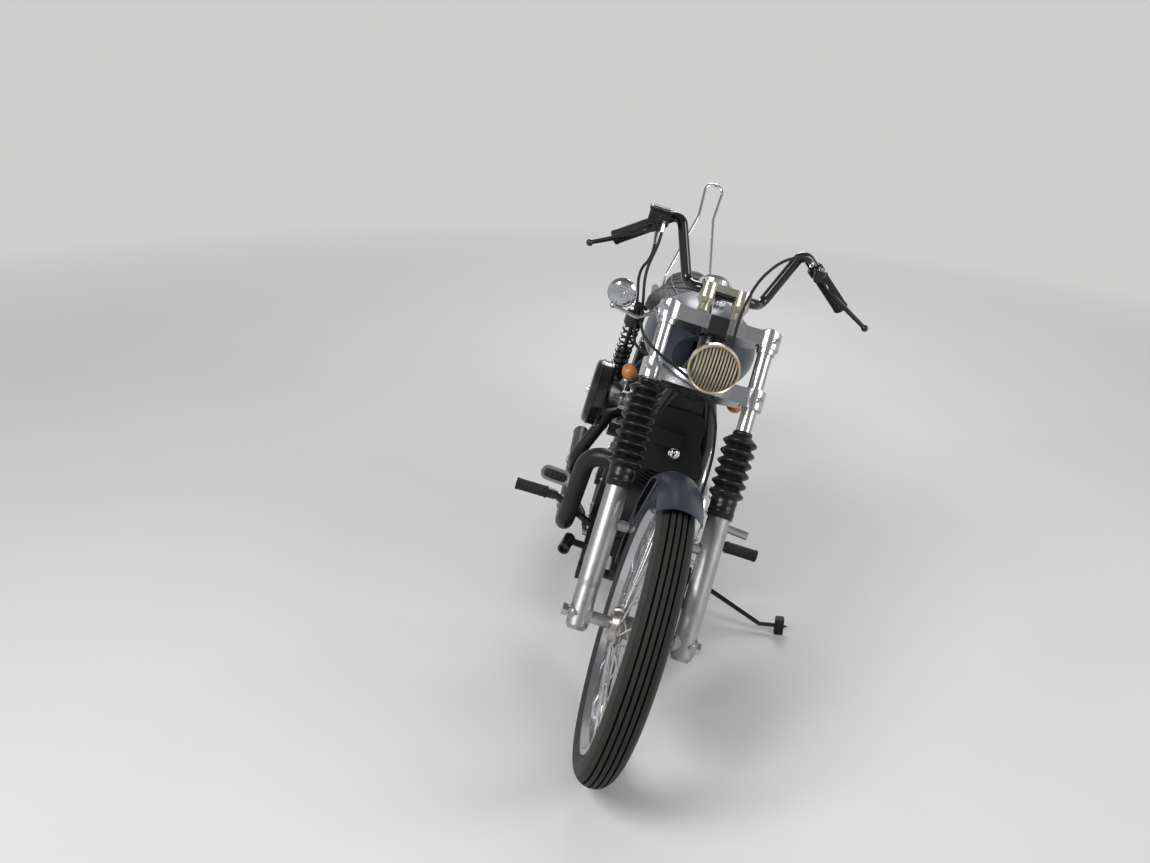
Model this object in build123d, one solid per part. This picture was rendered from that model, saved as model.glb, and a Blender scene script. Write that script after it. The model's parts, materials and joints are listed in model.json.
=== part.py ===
from build123d import *
from functools import cache
import math
import os

# A chopper motorcycle, modelled upright and then leaned onto its side stand.
# +X is the rider's left, +Y runs from the front wheel to the rear, +Z is up. Millimetres.
# The upright model's origin is on the ground under the front wheel's hub.

# Stance and chassis layout
LEAN_DEG = 13.5
RAKE_DEG = 31.0
WHEELBASE = 1620.0
STEER_OFFSET = 55.0
STEER_RANGE_DEG = 35.0
RUNNING_GAP = 0.3

# Front wheel
FRONT_TYRE_R = 345.0
FRONT_CROWN_R = 42.0
FRONT_TYRE_HALF = 41.0
FRONT_FLANGE_R = 285.0
FRONT_RIM_HALF = 33.0
FRONT_SPOKES = 20
HUB_RIGHT_X = -55.0
HUB_LEFT_X = 52.0
HUB_FLANGE_X = 30.0
HUB_FLANGE_R = 46.0
HUB_CAP = ((-55.0, 24.0), (-50.0, 36.0), (-36.0, 40.0), (-28.0, 51.0))
AXLE_D = 20.0
FRONT_DISC_R = 145.0
FRONT_DISC_X = 64.0
DISC_T = 5.0

# Rear wheel
REAR_TYRE_R = 320.0
REAR_CROWN_R = 72.0
REAR_TYRE_HALF = 65.0
REAR_FLANGE_R = 218.0
REAR_RIM_HALF = 46.0
REAR_SPOKES = 20
REAR_HUB_HALF = 58.0
REAR_FLANGE_X = 36.0
REAR_HUB_FLANGE_R = 55.0
SPOKE_D = 4.0
RIM_DROP = 22.0

# Final drive
CHAIN_X = 80.0
CHAIN_W = 16.0
CHAIN_PITCH = 15.875
REAR_TEETH = 48
GEARBOX_TEETH = 24
GEARBOX_Y = 985.0
GEARBOX_Z = 345.0
SPROCKET_T = 7.0

# Telescopic fork, in the fork's own frame: across, back from the tubes, up from the axle
FORK_HALF = 120.0
TUBE_D = 35.0
SLIDER_D = 52.0
SLIDER_LOW = -36.0
SLIDER_TOP = 320.0
TUBE_OVERLAP = 55.0
LOWER_CLAMP_U = 574.0
LOWER_CLAMP_T = 40.0
UPPER_CLAMP_U = 700.0
UPPER_CLAMP_T = 35.0
CLAMP_BOSS_R = 27.0
CLAMP_FRONT = 19.0
PINCH_OUT = 14.0
PINCH_D = 13.0
COLLAR_R = 22.0
COLLAR_H = 12.0
TUBE_CAP_R = 20.0
TUBE_CAP_IN = 6.0
AXLE_BOSS_D = 46.0
AXLE_BOSS_HALF = 25.0
STEM_D = 25.0
HEAD_TUBE_D = 62.0
HEAD_GAP = 4.0
FENDER_LUG_U = 212.0
FENDER_LUG_D = 24.0
FENDER_LUG_END = 70.0
GAITER_R = 40.0
GAITER_PITCH = 26.0
RIGHT_GAITER_BELOW = 6.0
LEFT_GAITER_BELOW = 58.0
RIGHT_GAITER_TOP = LOWER_CLAMP_U - LOWER_CLAMP_T / 2 - RIGHT_GAITER_BELOW
LEFT_GAITER_TOP = LOWER_CLAMP_U - LOWER_CLAMP_T / 2 - LEFT_GAITER_BELOW

# Bars and lamps
BAR_D = 25.4
RISER_HALF = 42.0
RISER_BACK = 52.0
RISER_TOP = 810.0
LAMP_R = 56.5
LAMP_AHEAD = 94.0752881
LAMP_ABOVE = 50.5288807
LAMP_RIBS = 13

# Engine
CRANK_Y = 700.0
CRANK_Z = 330.0
CYLINDER_TILT = 22.5
DECK = 120.0
TAPPET_TOP = 136.0
FIN_PITCH = 14.0
FIN_COUNT = 11
FIN_R = 72.0
BARREL_R = 45.0
HEAD_LOW = DECK + FIN_COUNT * FIN_PITCH
HEAD_H = 62.0
ROCKER_H = 58.0
CASE_HALF = 62.0
CAM_COVER_OUT = 128.0
PRIMARY_IN = 92.0
PRIMARY_OUT = 190.0
PRIMARY_R = 112.0
CLUTCH_Y = 960.0
CLUTCH_Z = 350.0

# Frame
TUBE = 32.0
RAIL_X = 95.0
RAIL_Z = 165.0
POST_X = 48.0
DOWNTUBE_Y = 452.0
SEAT_POST_Y = 1075.0
RAILS_Z = 690.0
BACKBONE_D = 46.0
BACKBONE_BELOW = 53.0
CRADLE_BELOW = 50.0
PIVOT_Y = 1126.0
PIVOT_Z = 335.0
ARM_X = 112.0
ARM_D = 36.0
PIVOT_HALF = 60.0
STRUT_X = 101.0

# Fenders and bodywork
FRONT_FENDER_R = 362.0
FRONT_FENDER_AHEAD = 13.0
FRONT_FENDER_SPAN = 110.0
FENDER_T = 3.0
FRONT_FENDER_HALF = 50.0
REAR_FENDER_R = 356.0
REAR_FENDER_HALF = 76.0
FENDER_STUDS_DEG = (-24.0, 1.0)
TANK_LOW = 752.0
TANK_TOP = 948.0
TUNNEL_HALF = 32.0
TANK_STUDS = ((0.19, 0.0), (0.84, 6.0))

# Side stand
STAND_PIVOT = (134.0, 700.0, 160.0)

BASE = (Align.CENTER, Align.CENTER, Align.MIN)
COS_LEAN = math.cos(math.radians(LEAN_DEG))
SIN_LEAN = math.sin(math.radians(LEAN_DEG))
SIN_RAKE = math.sin(math.radians(RAKE_DEG))
COS_RAKE = math.cos(math.radians(RAKE_DEG))


def hub_height(radius, crown):
    """The upright hub height that leaves the leaned tyre just touching the ground."""
    return radius + crown * (1 / COS_LEAN - 1)


FRONT_HUB = (0, 0, hub_height(FRONT_TYRE_R, FRONT_CROWN_R))
REAR_HUB = (0, WHEELBASE, hub_height(REAR_TYRE_R, REAR_CROWN_R))
FORK = Plane(origin=FRONT_HUB, x_dir=(1, 0, 0), z_dir=(0, SIN_RAKE, COS_RAKE))
STEER_AXIS = (0, SIN_RAKE, COS_RAKE)


def fork_point(across, back, up):
    """A point of the fork's own frame, in the upright model's frame."""
    return FORK.from_local_coords(Vector(across, back, up))


def rod(start, end, diameter, end_diameter=None):
    """A round bar between two points, or a cone where the end's diameter is given."""
    start, end = Vector(start), Vector(end)
    plane = Plane(origin=start, z_dir=end - start)
    length = (end - start).length
    if end_diameter is None:
        return plane * Cylinder(diameter / 2, length, align=BASE)
    return plane * Cone(diameter / 2, end_diameter / 2, length, align=BASE)


def bent_tube(points, diameter, radii):
    """A round tube along straight runs joined by arcs, with one radius for each corner."""
    path = FilletPolyline(*[Vector(p) for p in points], radius=radii)
    section = Plane(origin=path @ 0, z_dir=path % 0) * Circle(diameter / 2)
    return sweep(section, path=path)


def gentle_radii(points):
    """The largest tangent arcs that the runs of a cord's route leave room for."""
    points = [Vector(p) for p in points]
    radii = []
    for before, corner, after in zip(points, points[1:], points[2:]):
        turn = math.radians((corner - before).get_angle(after - corner))
        run = min((corner - before).length, (after - corner).length)
        radii.append(0.45 * run / math.tan(turn / 2))
    return radii


def mirrored(points):
    """The same points on the other side of the machine."""
    return [(-x, y, z) for x, y, z in points]


def along_x(shape, centre):
    """A shape made about the X axis, moved to a wheel or crank centre."""
    return Pos(*centre) * shape


def ring_about_x(points):
    """A closed outline of (x, radius) corners turned about the X axis."""
    return revolve(make_face(Polyline(*points, close=True)), Axis.X, 360)


def drum(x_from, x_to, radius, bore=0.0):
    """A round drum about the X axis between two stations, bored where a bore is given."""
    solid = Plane(origin=(x_from, 0, 0), z_dir=(1, 0, 0)) * Cylinder(radius, x_to - x_from, align=BASE)
    if bore:
        solid -= Plane(origin=(x_from, 0, 0), z_dir=(1, 0, 0)) * Cylinder(bore, x_to - x_from, align=BASE)
    return solid


def turned(points, plane):
    """A closed outline of (radius, height) corners turned about a plane's own Z axis."""
    profile = Plane.XZ * make_face(Polyline(*points, close=True))
    return plane * revolve(profile, Axis.Z, 360)


def side_plate(points, x_from, x_to):
    """A plate whose (y, z) outline is pushed out between two X stations."""
    face = make_face(Polyline(*[(y, z) for y, z in points], close=True))
    return Plane(origin=(x_from, 0, 0), x_dir=(0, 1, 0), z_dir=(1, 0, 0)) * extrude(face, x_to - x_from)


def slot_plate(first, second, radius, x_from, x_to):
    """A plate shaped as two equal round ends with straight sides, between two X stations."""
    centre = ((first[0] + second[0]) / 2, (first[1] + second[1]) / 2)
    run = math.hypot(second[0] - first[0], second[1] - first[1])
    tilt = math.degrees(math.atan2(second[1] - first[1], second[0] - first[0]))
    face = Pos(*centre) * Rot(0, 0, tilt) * SlotCenterToCenter(run, 2 * radius)
    return Plane(origin=(x_from, 0, 0), x_dir=(0, 1, 0), z_dir=(1, 0, 0)) * extrude(face, x_to - x_from)


# Wheels


def tyre(radius, crown, half, flange, rim_half):
    """A tyre: a round crown between plain side walls, seated on its rim's beads."""
    bead_half = rim_half - 4.3
    shoulder = radius - crown + math.sqrt(max(crown**2 - half**2, 0.0))
    outline = [
        ThreePointArc((-half, shoulder), (0, radius), (half, shoulder)),
        Polyline(
            (half, shoulder),
            (rim_half + 1, flange + 3),
            (bead_half, flange + 0.3),
            (bead_half, flange - 7.6),
            (-bead_half, flange - 7.6),
            (-bead_half, flange + 0.3),
            (-rim_half - 1, flange + 3),
            (-half, shoulder),
        ),
    ]
    return revolve(make_face(outline), Axis.X, 360)


def rim(flange, half):
    """A rolled steel rim with raised flanges, bead seats and a dropped centre."""
    return ring_about_x([
        (-half, flange), (-half + 4, flange), (-half + 4, flange - 8),
        (-half + 17, flange - 10), (-half + 22, flange - 18),
        (half - 22, flange - 18), (half - 17, flange - 10),
        (half - 4, flange - 8), (half - 4, flange), (half, flange),
        (half, flange - 12), (half - 16, flange - RIM_DROP),
        (-half + 16, flange - RIM_DROP), (-half, flange - 12),
    ])


def spokes(count, hub_x, hub_r, rim_r, rim_x, sweep_deg):
    """Crossed wire spokes from both hub flanges to the rim, leaning fore and aft in turn."""
    wires = []
    for side in (-1, 1):
        for i in range(count):
            angle = 360 / count * (i + (0.5 if side > 0 else 0))
            swing = sweep_deg if i % 2 else -sweep_deg
            offset = 3.0 if i % 2 else -3.0
            a, b = math.radians(angle), math.radians(angle + swing)
            start = (side * hub_x + offset, hub_r * math.cos(a), hub_r * math.sin(a))
            end = (side * rim_x, rim_r * math.cos(b), rim_r * math.sin(b))
            wires.append(rod(start, end, SPOKE_D))
    return wires


def front_tyre():
    return along_x(tyre(FRONT_TYRE_R, FRONT_CROWN_R, FRONT_TYRE_HALF, FRONT_FLANGE_R, FRONT_RIM_HALF), FRONT_HUB)


def front_rim():
    return along_x(rim(FRONT_FLANGE_R, FRONT_RIM_HALF), FRONT_HUB)


def front_hub():
    """The spool hub with its flanges, bored for the axle, and the spokes laced into it."""
    body = drum(HUB_RIGHT_X, HUB_LEFT_X, 26)
    body += ring_about_x([(HUB_CAP[0][0], 0), *HUB_CAP, (HUB_CAP[-1][0], 0)])
    for x in (-HUB_FLANGE_X - 3.5, HUB_FLANGE_X - 3.5):
        body += drum(x, x + 7, HUB_FLANGE_R + 5)
    body += drum(HUB_LEFT_X - 12, HUB_LEFT_X, 36)
    for wire in spokes(FRONT_SPOKES, HUB_FLANGE_X, HUB_FLANGE_R, FRONT_FLANGE_R - RIM_DROP + 2, 7, 38):
        body += wire
    body -= rim(FRONT_FLANGE_R, FRONT_RIM_HALF)
    body -= drum(HUB_RIGHT_X, HUB_LEFT_X, AXLE_D / 2 + RUNNING_GAP)
    return along_x(body, FRONT_HUB)


def disc_on_carrier(radius, x, carrier_from, carrier_to, bolt_r):
    """A brake disc with a ring of lightening holes, on a dished carrier."""
    disc = drum(x - DISC_T / 2, x + DISC_T / 2, radius, bolt_r)
    for i in range(10):
        angle = math.radians(36 * i)
        hole = drum(x - DISC_T / 2, x + DISC_T / 2, 11)
        reach = (radius + bolt_r) / 2
        disc -= Pos(0, reach * math.cos(angle), reach * math.sin(angle)) * hole
    low, high = min(carrier_from, carrier_to), max(carrier_from, carrier_to)
    disc += drum(low, high, bolt_r + 8, AXLE_D / 2 + 6)
    return disc


def front_disc():
    solid = disc_on_carrier(FRONT_DISC_R, FRONT_DISC_X, HUB_LEFT_X, FRONT_DISC_X + DISC_T / 2, 62)
    return along_x(solid, FRONT_HUB)


def rear_tyre():
    return along_x(tyre(REAR_TYRE_R, REAR_CROWN_R, REAR_TYRE_HALF, REAR_FLANGE_R, REAR_RIM_HALF), REAR_HUB)


def rear_rim():
    return along_x(rim(REAR_FLANGE_R, REAR_RIM_HALF), REAR_HUB)


def rear_hub():
    """The rear hub with its flanges and spokes, bored for the axle."""
    body = drum(-REAR_HUB_HALF, REAR_HUB_HALF, 36)
    for x in (-REAR_FLANGE_X - 4, REAR_FLANGE_X - 4):
        body += drum(x, x + 8, REAR_HUB_FLANGE_R + 6)
    for wire in spokes(REAR_SPOKES, REAR_FLANGE_X, REAR_HUB_FLANGE_R, REAR_FLANGE_R - RIM_DROP + 2, 12, 44):
        body += wire
    body -= rim(REAR_FLANGE_R, REAR_RIM_HALF)
    body -= drum(-REAR_HUB_HALF, REAR_HUB_HALF, AXLE_D / 2 + RUNNING_GAP)
    return along_x(body, REAR_HUB)


def sprocket_radius(teeth):
    """Pitch radius of a chain sprocket."""
    return CHAIN_PITCH / (2 * math.sin(math.pi / teeth))


def toothed_plate(teeth):
    """A sprocket plate about the X axis on the chain's line, with round tooth gaps."""
    pitch_r = sprocket_radius(teeth)
    face = Circle(pitch_r + 3.5)
    face -= [Rot(0, 0, 360 / teeth * i) * Pos(pitch_r, 0) * Circle(5.6) for i in range(teeth)]
    return Plane(origin=(CHAIN_X - SPROCKET_T / 2, 0, 0), z_dir=(1, 0, 0)) * extrude(face, SPROCKET_T)


def rear_sprocket():
    """The rear chain sprocket with its lightening holes, on its boss."""
    plate = toothed_plate(REAR_TEETH)
    for i in range(6):
        turn = math.radians(60 * i)
        plate -= Pos(0, 74 * math.cos(turn), 74 * math.sin(turn)) * drum(CHAIN_X - 10, CHAIN_X + 10, 15)
    plate -= drum(CHAIN_X - 10, CHAIN_X + 10, AXLE_D / 2 + 6)
    plate += drum(REAR_HUB_HALF, CHAIN_X, 44, AXLE_D / 2 + 6)
    return along_x(plate, REAR_HUB)


def rear_disc():
    solid = disc_on_carrier(FRONT_DISC_R, -CHAIN_X, -REAR_HUB_HALF, -CHAIN_X - DISC_T / 2, 62)
    return along_x(solid, REAR_HUB)


# Fork and steering


def fork_tubes():
    """Two chromed tubes from inside the sliders to just under the top clamp's caps."""
    low = SLIDER_TOP - TUBE_OVERLAP
    high = UPPER_CLAMP_U + UPPER_CLAMP_T - TUBE_CAP_IN
    return [rod(fork_point(x, 0, low), fork_point(x, 0, high), TUBE_D) for x in (-FORK_HALF, FORK_HALF)]


def fork_slider(side):
    """One aluminium slider with its axle eye, fender lug, drain boss and bore."""
    x = side * FORK_HALF
    outline = [
        (0, SLIDER_LOW), (18, SLIDER_LOW), (SLIDER_D / 2 - 1, SLIDER_LOW + 9),
        (SLIDER_D / 2 - 1, 60), (SLIDER_D / 2, 75), (SLIDER_D / 2, SLIDER_TOP), (0, SLIDER_TOP),
    ]
    body = turned(outline, Plane(origin=fork_point(x, 0, 0), x_dir=(1, 0, 0), z_dir=FORK.z_dir))
    body += rod(fork_point(x - AXLE_BOSS_HALF, 0, 0), fork_point(x + AXLE_BOSS_HALF, 0, 0), AXLE_BOSS_D)
    lug_start = fork_point(x, 0, FENDER_LUG_U)
    body += rod(lug_start, fork_point(side * FENDER_LUG_END, 0, FENDER_LUG_U), FENDER_LUG_D)
    body += rod(fork_point(x, 0, 0), fork_point(x, 40, 0), 16)
    bore_low = fork_point(x, 0, SLIDER_TOP - TUBE_OVERLAP)
    body -= rod(bore_low, fork_point(x, 0, SLIDER_TOP + 1), TUBE_D)
    body -= rod(fork_point(x - 60, 0, 0), fork_point(x + 60, 0, 0), AXLE_D)
    if side > 0:
        for up in CALIPER_LUG_U:
            body += rod(fork_point(x, 0, up), fork_point(x - 14, 46, up), 20)
        body -= caliper_envelope()
    return body


CALIPER_U = 118.0
CALIPER_LUG_U = (CALIPER_U - 34, CALIPER_U + 34)
CALIPER_BACK = 62.0
CALIPER_W = 64.0


def caliper_envelope():
    """The block of space that the brake caliper fills beside the slider."""
    return FORK * Pos(FRONT_DISC_X + 2, CALIPER_BACK, CALIPER_U) * Box(CALIPER_W, 52, 108)


def fork_sliders():
    return [fork_slider(-1), fork_slider(1)]


def front_axle():
    """The front axle with its head, nut and the two spacers beside the hub."""
    centre = Vector(FRONT_HUB)
    outer = FORK_HALF + AXLE_BOSS_HALF
    body = drum(-outer - 16, outer + 12, AXLE_D / 2)
    body += Plane(origin=(-outer - 16, 0, 0), z_dir=(1, 0, 0)) * extrude(RegularPolygon(15, 6), 12)
    body += Plane(origin=(outer, 0, 0), z_dir=(1, 0, 0)) * extrude(RegularPolygon(15, 6), 12)
    inner = FORK_HALF - AXLE_BOSS_HALF
    body += drum(-inner + RUNNING_GAP, HUB_RIGHT_X - RUNNING_GAP, 14)
    body += drum(FRONT_DISC_X + DISC_T / 2 + RUNNING_GAP, inner - RUNNING_GAP, 14)
    return along_x(body, centre)


def front_caliper():
    """A two-piston brake caliper astride the front disc, bolted to the left slider."""
    block = caliper_envelope()
    block = fillet(block.edges().filter_by(Axis.X), 12)
    slot = drum(FRONT_DISC_X - DISC_T / 2 - 3, FRONT_DISC_X + DISC_T / 2 + 3, FRONT_DISC_R + 5)
    block -= along_x(slot, FRONT_HUB)
    block -= along_x(drum(0, 120, 92), FRONT_HUB)
    outer = FRONT_DISC_X + 2 + CALIPER_W / 2
    for up in (CALIPER_U - 24, CALIPER_U + 24):
        block += rod(fork_point(outer, CALIPER_BACK + 8, up), fork_point(outer + 5, CALIPER_BACK + 8, up), 26)
    return block


def gaiter(side, top):
    """A rubber fork gaiter: a collar over the slider, folds, and a collar on the tube."""
    x = side * FORK_HALF
    collar = SLIDER_D / 2 + 3.5
    low = SLIDER_TOP - 28
    neck = TUBE_D / 2 + 4
    outline = [(TUBE_D / 2, SLIDER_TOP), (SLIDER_D / 2, SLIDER_TOP), (SLIDER_D / 2, low), (collar, low)]
    outline += [(collar, SLIDER_TOP + 4), (collar + 2, SLIDER_TOP + 18)]
    folds = int((top - 14 - (SLIDER_TOP + 18)) / GAITER_PITCH)
    pitch = (top - 14 - (SLIDER_TOP + 18)) / folds
    for i in range(folds):
        base = SLIDER_TOP + 18 + i * pitch
        outline += [(GAITER_R - 11, base + 0.10 * pitch), (GAITER_R, base + 0.38 * pitch)]
        outline += [(GAITER_R, base + 0.62 * pitch), (GAITER_R - 11, base + 0.90 * pitch)]
    outline += [(neck, top - 13), (neck, top), (TUBE_D / 2, top)]
    return turned(outline, Plane(origin=fork_point(x, 0, 0), x_dir=(1, 0, 0), z_dir=FORK.z_dir))


def fork_gaiters():
    return [gaiter(-1, RIGHT_GAITER_TOP), gaiter(1, LEFT_GAITER_TOP)]


def clamp_plate(low, thickness, stem_r):
    """A billet fork clamp: a waisted plate between two tube bosses and the stem boss."""
    outline = [
        (-FORK_HALF, -22), (-60, -CLAMP_FRONT), (60, -CLAMP_FRONT), (FORK_HALF, -22),
        (FORK_HALF, 22), (34, STEER_OFFSET + 18), (-34, STEER_OFFSET + 18), (-FORK_HALF, 22),
    ]
    plate = extrude(make_face(Polyline(*outline, close=True)), thickness)
    plate += Pos(0, STEER_OFFSET) * Cylinder(stem_r, thickness, align=BASE)
    for x in (-FORK_HALF, FORK_HALF):
        plate += Pos(x, 0, -3) * Cylinder(CLAMP_BOSS_R, thickness + 6, align=BASE)
    plate = Pos(0, 0, low) * plate
    for x in (-FORK_HALF, FORK_HALF):
        plate -= Pos(x, 0, low - 3) * Cylinder(TUBE_D / 2, thickness + 6, align=BASE)
        side = 1 if x > 0 else -1
        barrel = Cylinder(PINCH_D / 2, 2 * CLAMP_BOSS_R + 8)
        pinch = Pos(x + side * PINCH_OUT, 0, low + thickness / 2) * Rot(90, 0, 0) * barrel
        plate += pinch - Pos(x, 0, low - 3) * Cylinder(TUBE_D / 2 + 2, thickness + 6, align=BASE)
    return plate


@cache
def lower_clamp():
    """The lower fork clamp with the steering stem fixed in it."""
    low = LOWER_CLAMP_U - LOWER_CLAMP_T / 2
    body = clamp_plate(low, LOWER_CLAMP_T, 36)
    stem_h = UPPER_CLAMP_U - low
    body += Pos(0, STEER_OFFSET, low) * Cylinder(STEM_D / 2, stem_h, align=BASE)
    return FORK * body


@cache
def upper_clamp():
    """The upper fork clamp with the stem nut, the tube caps and the collars under it."""
    body = clamp_plate(UPPER_CLAMP_U, UPPER_CLAMP_T, 36)
    top = UPPER_CLAMP_U + UPPER_CLAMP_T
    body += Pos(0, STEER_OFFSET, top) * extrude(RegularPolygon(17, 6), 9)
    for x in (-FORK_HALF, FORK_HALF):
        body += Pos(x, 0, top - TUBE_CAP_IN) * Cylinder(TUBE_D / 2, TUBE_CAP_IN + 3, align=BASE)
        body += Pos(x, 0, top + 3) * Cylinder(TUBE_CAP_R, 4, align=BASE)
        body += Pos(x, 0, top + 7) * extrude(RegularPolygon(11, 6), 5)
        collar = Cylinder(COLLAR_R, COLLAR_H, align=BASE) - Cylinder(TUBE_D / 2, COLLAR_H, align=BASE)
        body += Pos(x, 0, UPPER_CLAMP_U - 3 - COLLAR_H) * collar
    return FORK * body


@cache
def risers():
    """Two turned dog-bone risers and the clamp bar that holds the handlebar on them."""
    base = UPPER_CLAMP_U + UPPER_CLAMP_T
    outline = [
        (0, base), (23, base), (23, base + 8), (15, base + 22), (13, (base + RISER_TOP) / 2),
        (17, RISER_TOP - 30), (21, RISER_TOP - 22), (21, RISER_TOP + 17), (0, RISER_TOP + 17),
    ]
    body = None
    for x in (-RISER_HALF, RISER_HALF):
        pillar = turned(outline, Plane(origin=fork_point(x, RISER_BACK, 0), x_dir=(1, 0, 0), z_dir=FORK.z_dir))
        body = pillar if body is None else body + pillar
    body += FORK * Pos(0, RISER_BACK, RISER_TOP + 8) * Box(2 * RISER_HALF, 30, 18)
    nut = FORK * Pos(0, STEER_OFFSET, base) * Cylinder(18.5, 12, align=BASE)
    return body - handlebar() - nut


BAR_CENTRE = tuple(fork_point(0, RISER_BACK, RISER_TOP))
BAR_NARROW = (68.0, BAR_CENTRE[1], BAR_CENTRE[2])
BAR_LOW = (93.0, BAR_CENTRE[1] + 44, BAR_CENTRE[2] - 7)
BAR_HIGH = (154.0, BAR_CENTRE[1] + 91, BAR_CENTRE[2] + 138)
BAR_END = (290.0, BAR_CENTRE[1] + 105, BAR_CENTRE[2] + 33)


PERCH_AT = 0.33
GRIP_FLANGE_AT = 0.44
GRIP_FROM = 0.46
GRIP_TO = 1.03
GRIP_D = 35.0
GRIP_FLANGE_D = 38.0


def on_bar(share):
    """A point of the left grip's run, from the upper bend to the bar's end."""
    return Vector(BAR_HIGH) + (Vector(BAR_END) - Vector(BAR_HIGH)) * share


@cache
def handlebar():
    """One bent tube: out from the risers, up to the bends and down to the grips."""
    left = [BAR_NARROW, BAR_LOW, BAR_HIGH, BAR_END]
    points = mirrored(left[::-1]) + left
    return bent_tube(points, BAR_D, [22, 30, 30, 30, 30, 22])


def grips():
    """Rubber grips with a flange at the inner end of each."""
    pieces = []
    for flip in (False, True):
        run = rod(on_bar(GRIP_FROM), on_bar(GRIP_TO), GRIP_D)
        run += rod(on_bar(GRIP_FLANGE_AT), on_bar(GRIP_FROM + 0.01), GRIP_FLANGE_D)
        run -= rod(on_bar(0.0), on_bar(1.0), BAR_D)
        pieces.append(mirror(run, about=Plane.YZ) if flip else run)
    return pieces


LEVER_TIP = (345.0, BAR_CENTRE[1] + 25, BAR_CENTRE[2] + 19)


def lever_side(side):
    """A lever perch round the bar on one side, and the bent lever with its ball end."""

    def at(point):
        return Vector(side * point.X, point.Y, point.Z)

    root = on_bar(PERCH_AT)
    head = root + Vector(6, -34, -4)
    mid = on_bar(0.62) + Vector(4, -62, -2)
    tip = Vector(LEVER_TIP)
    body = rod(at(on_bar(0.265)), at(on_bar(0.395)), 40) + rod(at(root), at(head), 24)
    body += Pos(*at(head)) * Cylinder(14, 26)
    body += bent_tube([at(head), at(mid), at(tip)], 12, [70]) + Pos(*at(tip)) * Sphere(9)
    if side > 0:
        body += rod(head, CLUTCH_START, 13)
    return body - rod(at(on_bar(0.2)), at(on_bar(0.6)), BAR_D)


def hand_levers():
    return [lever_side(-1), lever_side(1)]


MASTER_AT = Vector(-205.0, BAR_CENTRE[1] + 45, BAR_CENTRE[2] + 123)


@cache
def master_cylinder():
    """The right-hand brake reservoir with its lid, standing on the lever perch."""
    body = Pos(*MASTER_AT) * Box(50, 44, 34)
    body = fillet(body.edges().filter_by(Axis.Z), 6)
    body += Pos(*(MASTER_AT + Vector(0, 0, 19))) * Box(56, 50, 6)
    bar = on_bar(PERCH_AT)
    body += rod(MASTER_AT, (-bar.X, bar.Y, bar.Z), 24)
    bar_run = rod(*mirrored([on_bar(0.1), on_bar(0.6)]), BAR_D)
    return (body - lever_side(-1) - bar_run).solids().sort_by(SortBy.VOLUME)[-1]


GAUGE_FACE = Vector(-24.0, 525.0, 1012.0)
GAUGE_AXIS = Vector(0, 0.75, 0.66).normalized()
GAUGE_DEPTH = 24.0
GAUGE_D = 84.0


def gauge():
    """A small round chrome instrument on a bracket over the top clamp."""
    back = GAUGE_FACE - GAUGE_AXIS * GAUGE_DEPTH
    body = rod(back, GAUGE_FACE, GAUGE_D - 22, GAUGE_D - 6)
    body += rod(GAUGE_FACE, GAUGE_FACE + GAUGE_AXIS * 5, GAUGE_D)
    foot = fork_point(GAUGE_FACE.X + 6, STEER_OFFSET + 12, UPPER_CLAMP_U + UPPER_CLAMP_T / 2)
    body += rod(foot, back + GAUGE_AXIS * 5, 12)
    return body - upper_clamp() - risers()


LAMP_SEAT = fork_point(0, -8, LOWER_CLAMP_U + LOWER_CLAMP_T / 2)
LAMP_Y = LAMP_SEAT.Y - LAMP_AHEAD
LAMP_Z = LAMP_SEAT.Z + LAMP_ABOVE


def headlight():
    """The round headlamp shell and rim, with its stud down to the lower clamp."""
    shell = [
        (0, 0), (LAMP_R - 4, 0), (LAMP_R, 4), (LAMP_R, 14), (LAMP_R - 5, 20),
        (LAMP_R - 9, 46), (LAMP_R - 24, 72), (LAMP_R - 40, 84), (0, 86),
    ]
    body = turned(shell, Plane(origin=(0, LAMP_Y, LAMP_Z), x_dir=(1, 0, 0), z_dir=(0, 1, 0)))
    body += rod(LAMP_SEAT, (0, LAMP_Y + 52, LAMP_Z - 20), 16)
    return body - lower_clamp()


def headlight_grille():
    """Brass-coloured ribs across the lamp's face in a round rim, following the fork's slope."""
    front = Plane(origin=(0, LAMP_Y, LAMP_Z), x_dir=(1, 0, 0), z_dir=(0, -1, 0))
    rim_outline = [(LAMP_R - 5, 0), (LAMP_R + 1, 0), (LAMP_R + 1, 5), (LAMP_R - 2, 9), (LAMP_R - 5, 6)]
    body = turned(rim_outline, front)
    pitch = 2 * (LAMP_R - 5) / (LAMP_RIBS + 1)
    for i in range(LAMP_RIBS):
        x = -LAMP_R + 5 + (i + 1) * pitch
        half = math.sqrt((LAMP_R - 4) ** 2 - x**2)
        rise = 5 + 9 * (1 - (x / LAMP_R) ** 2)
        arc = ThreePointArc((-half, 1), (0, rise + 6), (half, 1))
        inner = ThreePointArc((half, 1), (0, rise), (-half, 1))
        face = make_face([arc, inner])
        rib = extrude(Plane(origin=(0, 0, 0), x_dir=(0, 1, 0), z_dir=(1, 0, 0)) * face, 1.6, both=True)
        body += front * Pos(x, 0, 0) * rib
    return body


SWITCH_BOX = (44.0, 26.0, 44.0)
SWITCH_BOX_X = -7.0


def lamp_switch_box():
    """The small black box on the front edge of the top clamp, above the headlamp."""
    wide, deep, tall = SWITCH_BOX
    return FORK * Pos(SWITCH_BOX_X, -CLAMP_FRONT - deep / 2, UPPER_CLAMP_U + 6) * Box(wide, deep, tall)


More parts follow.
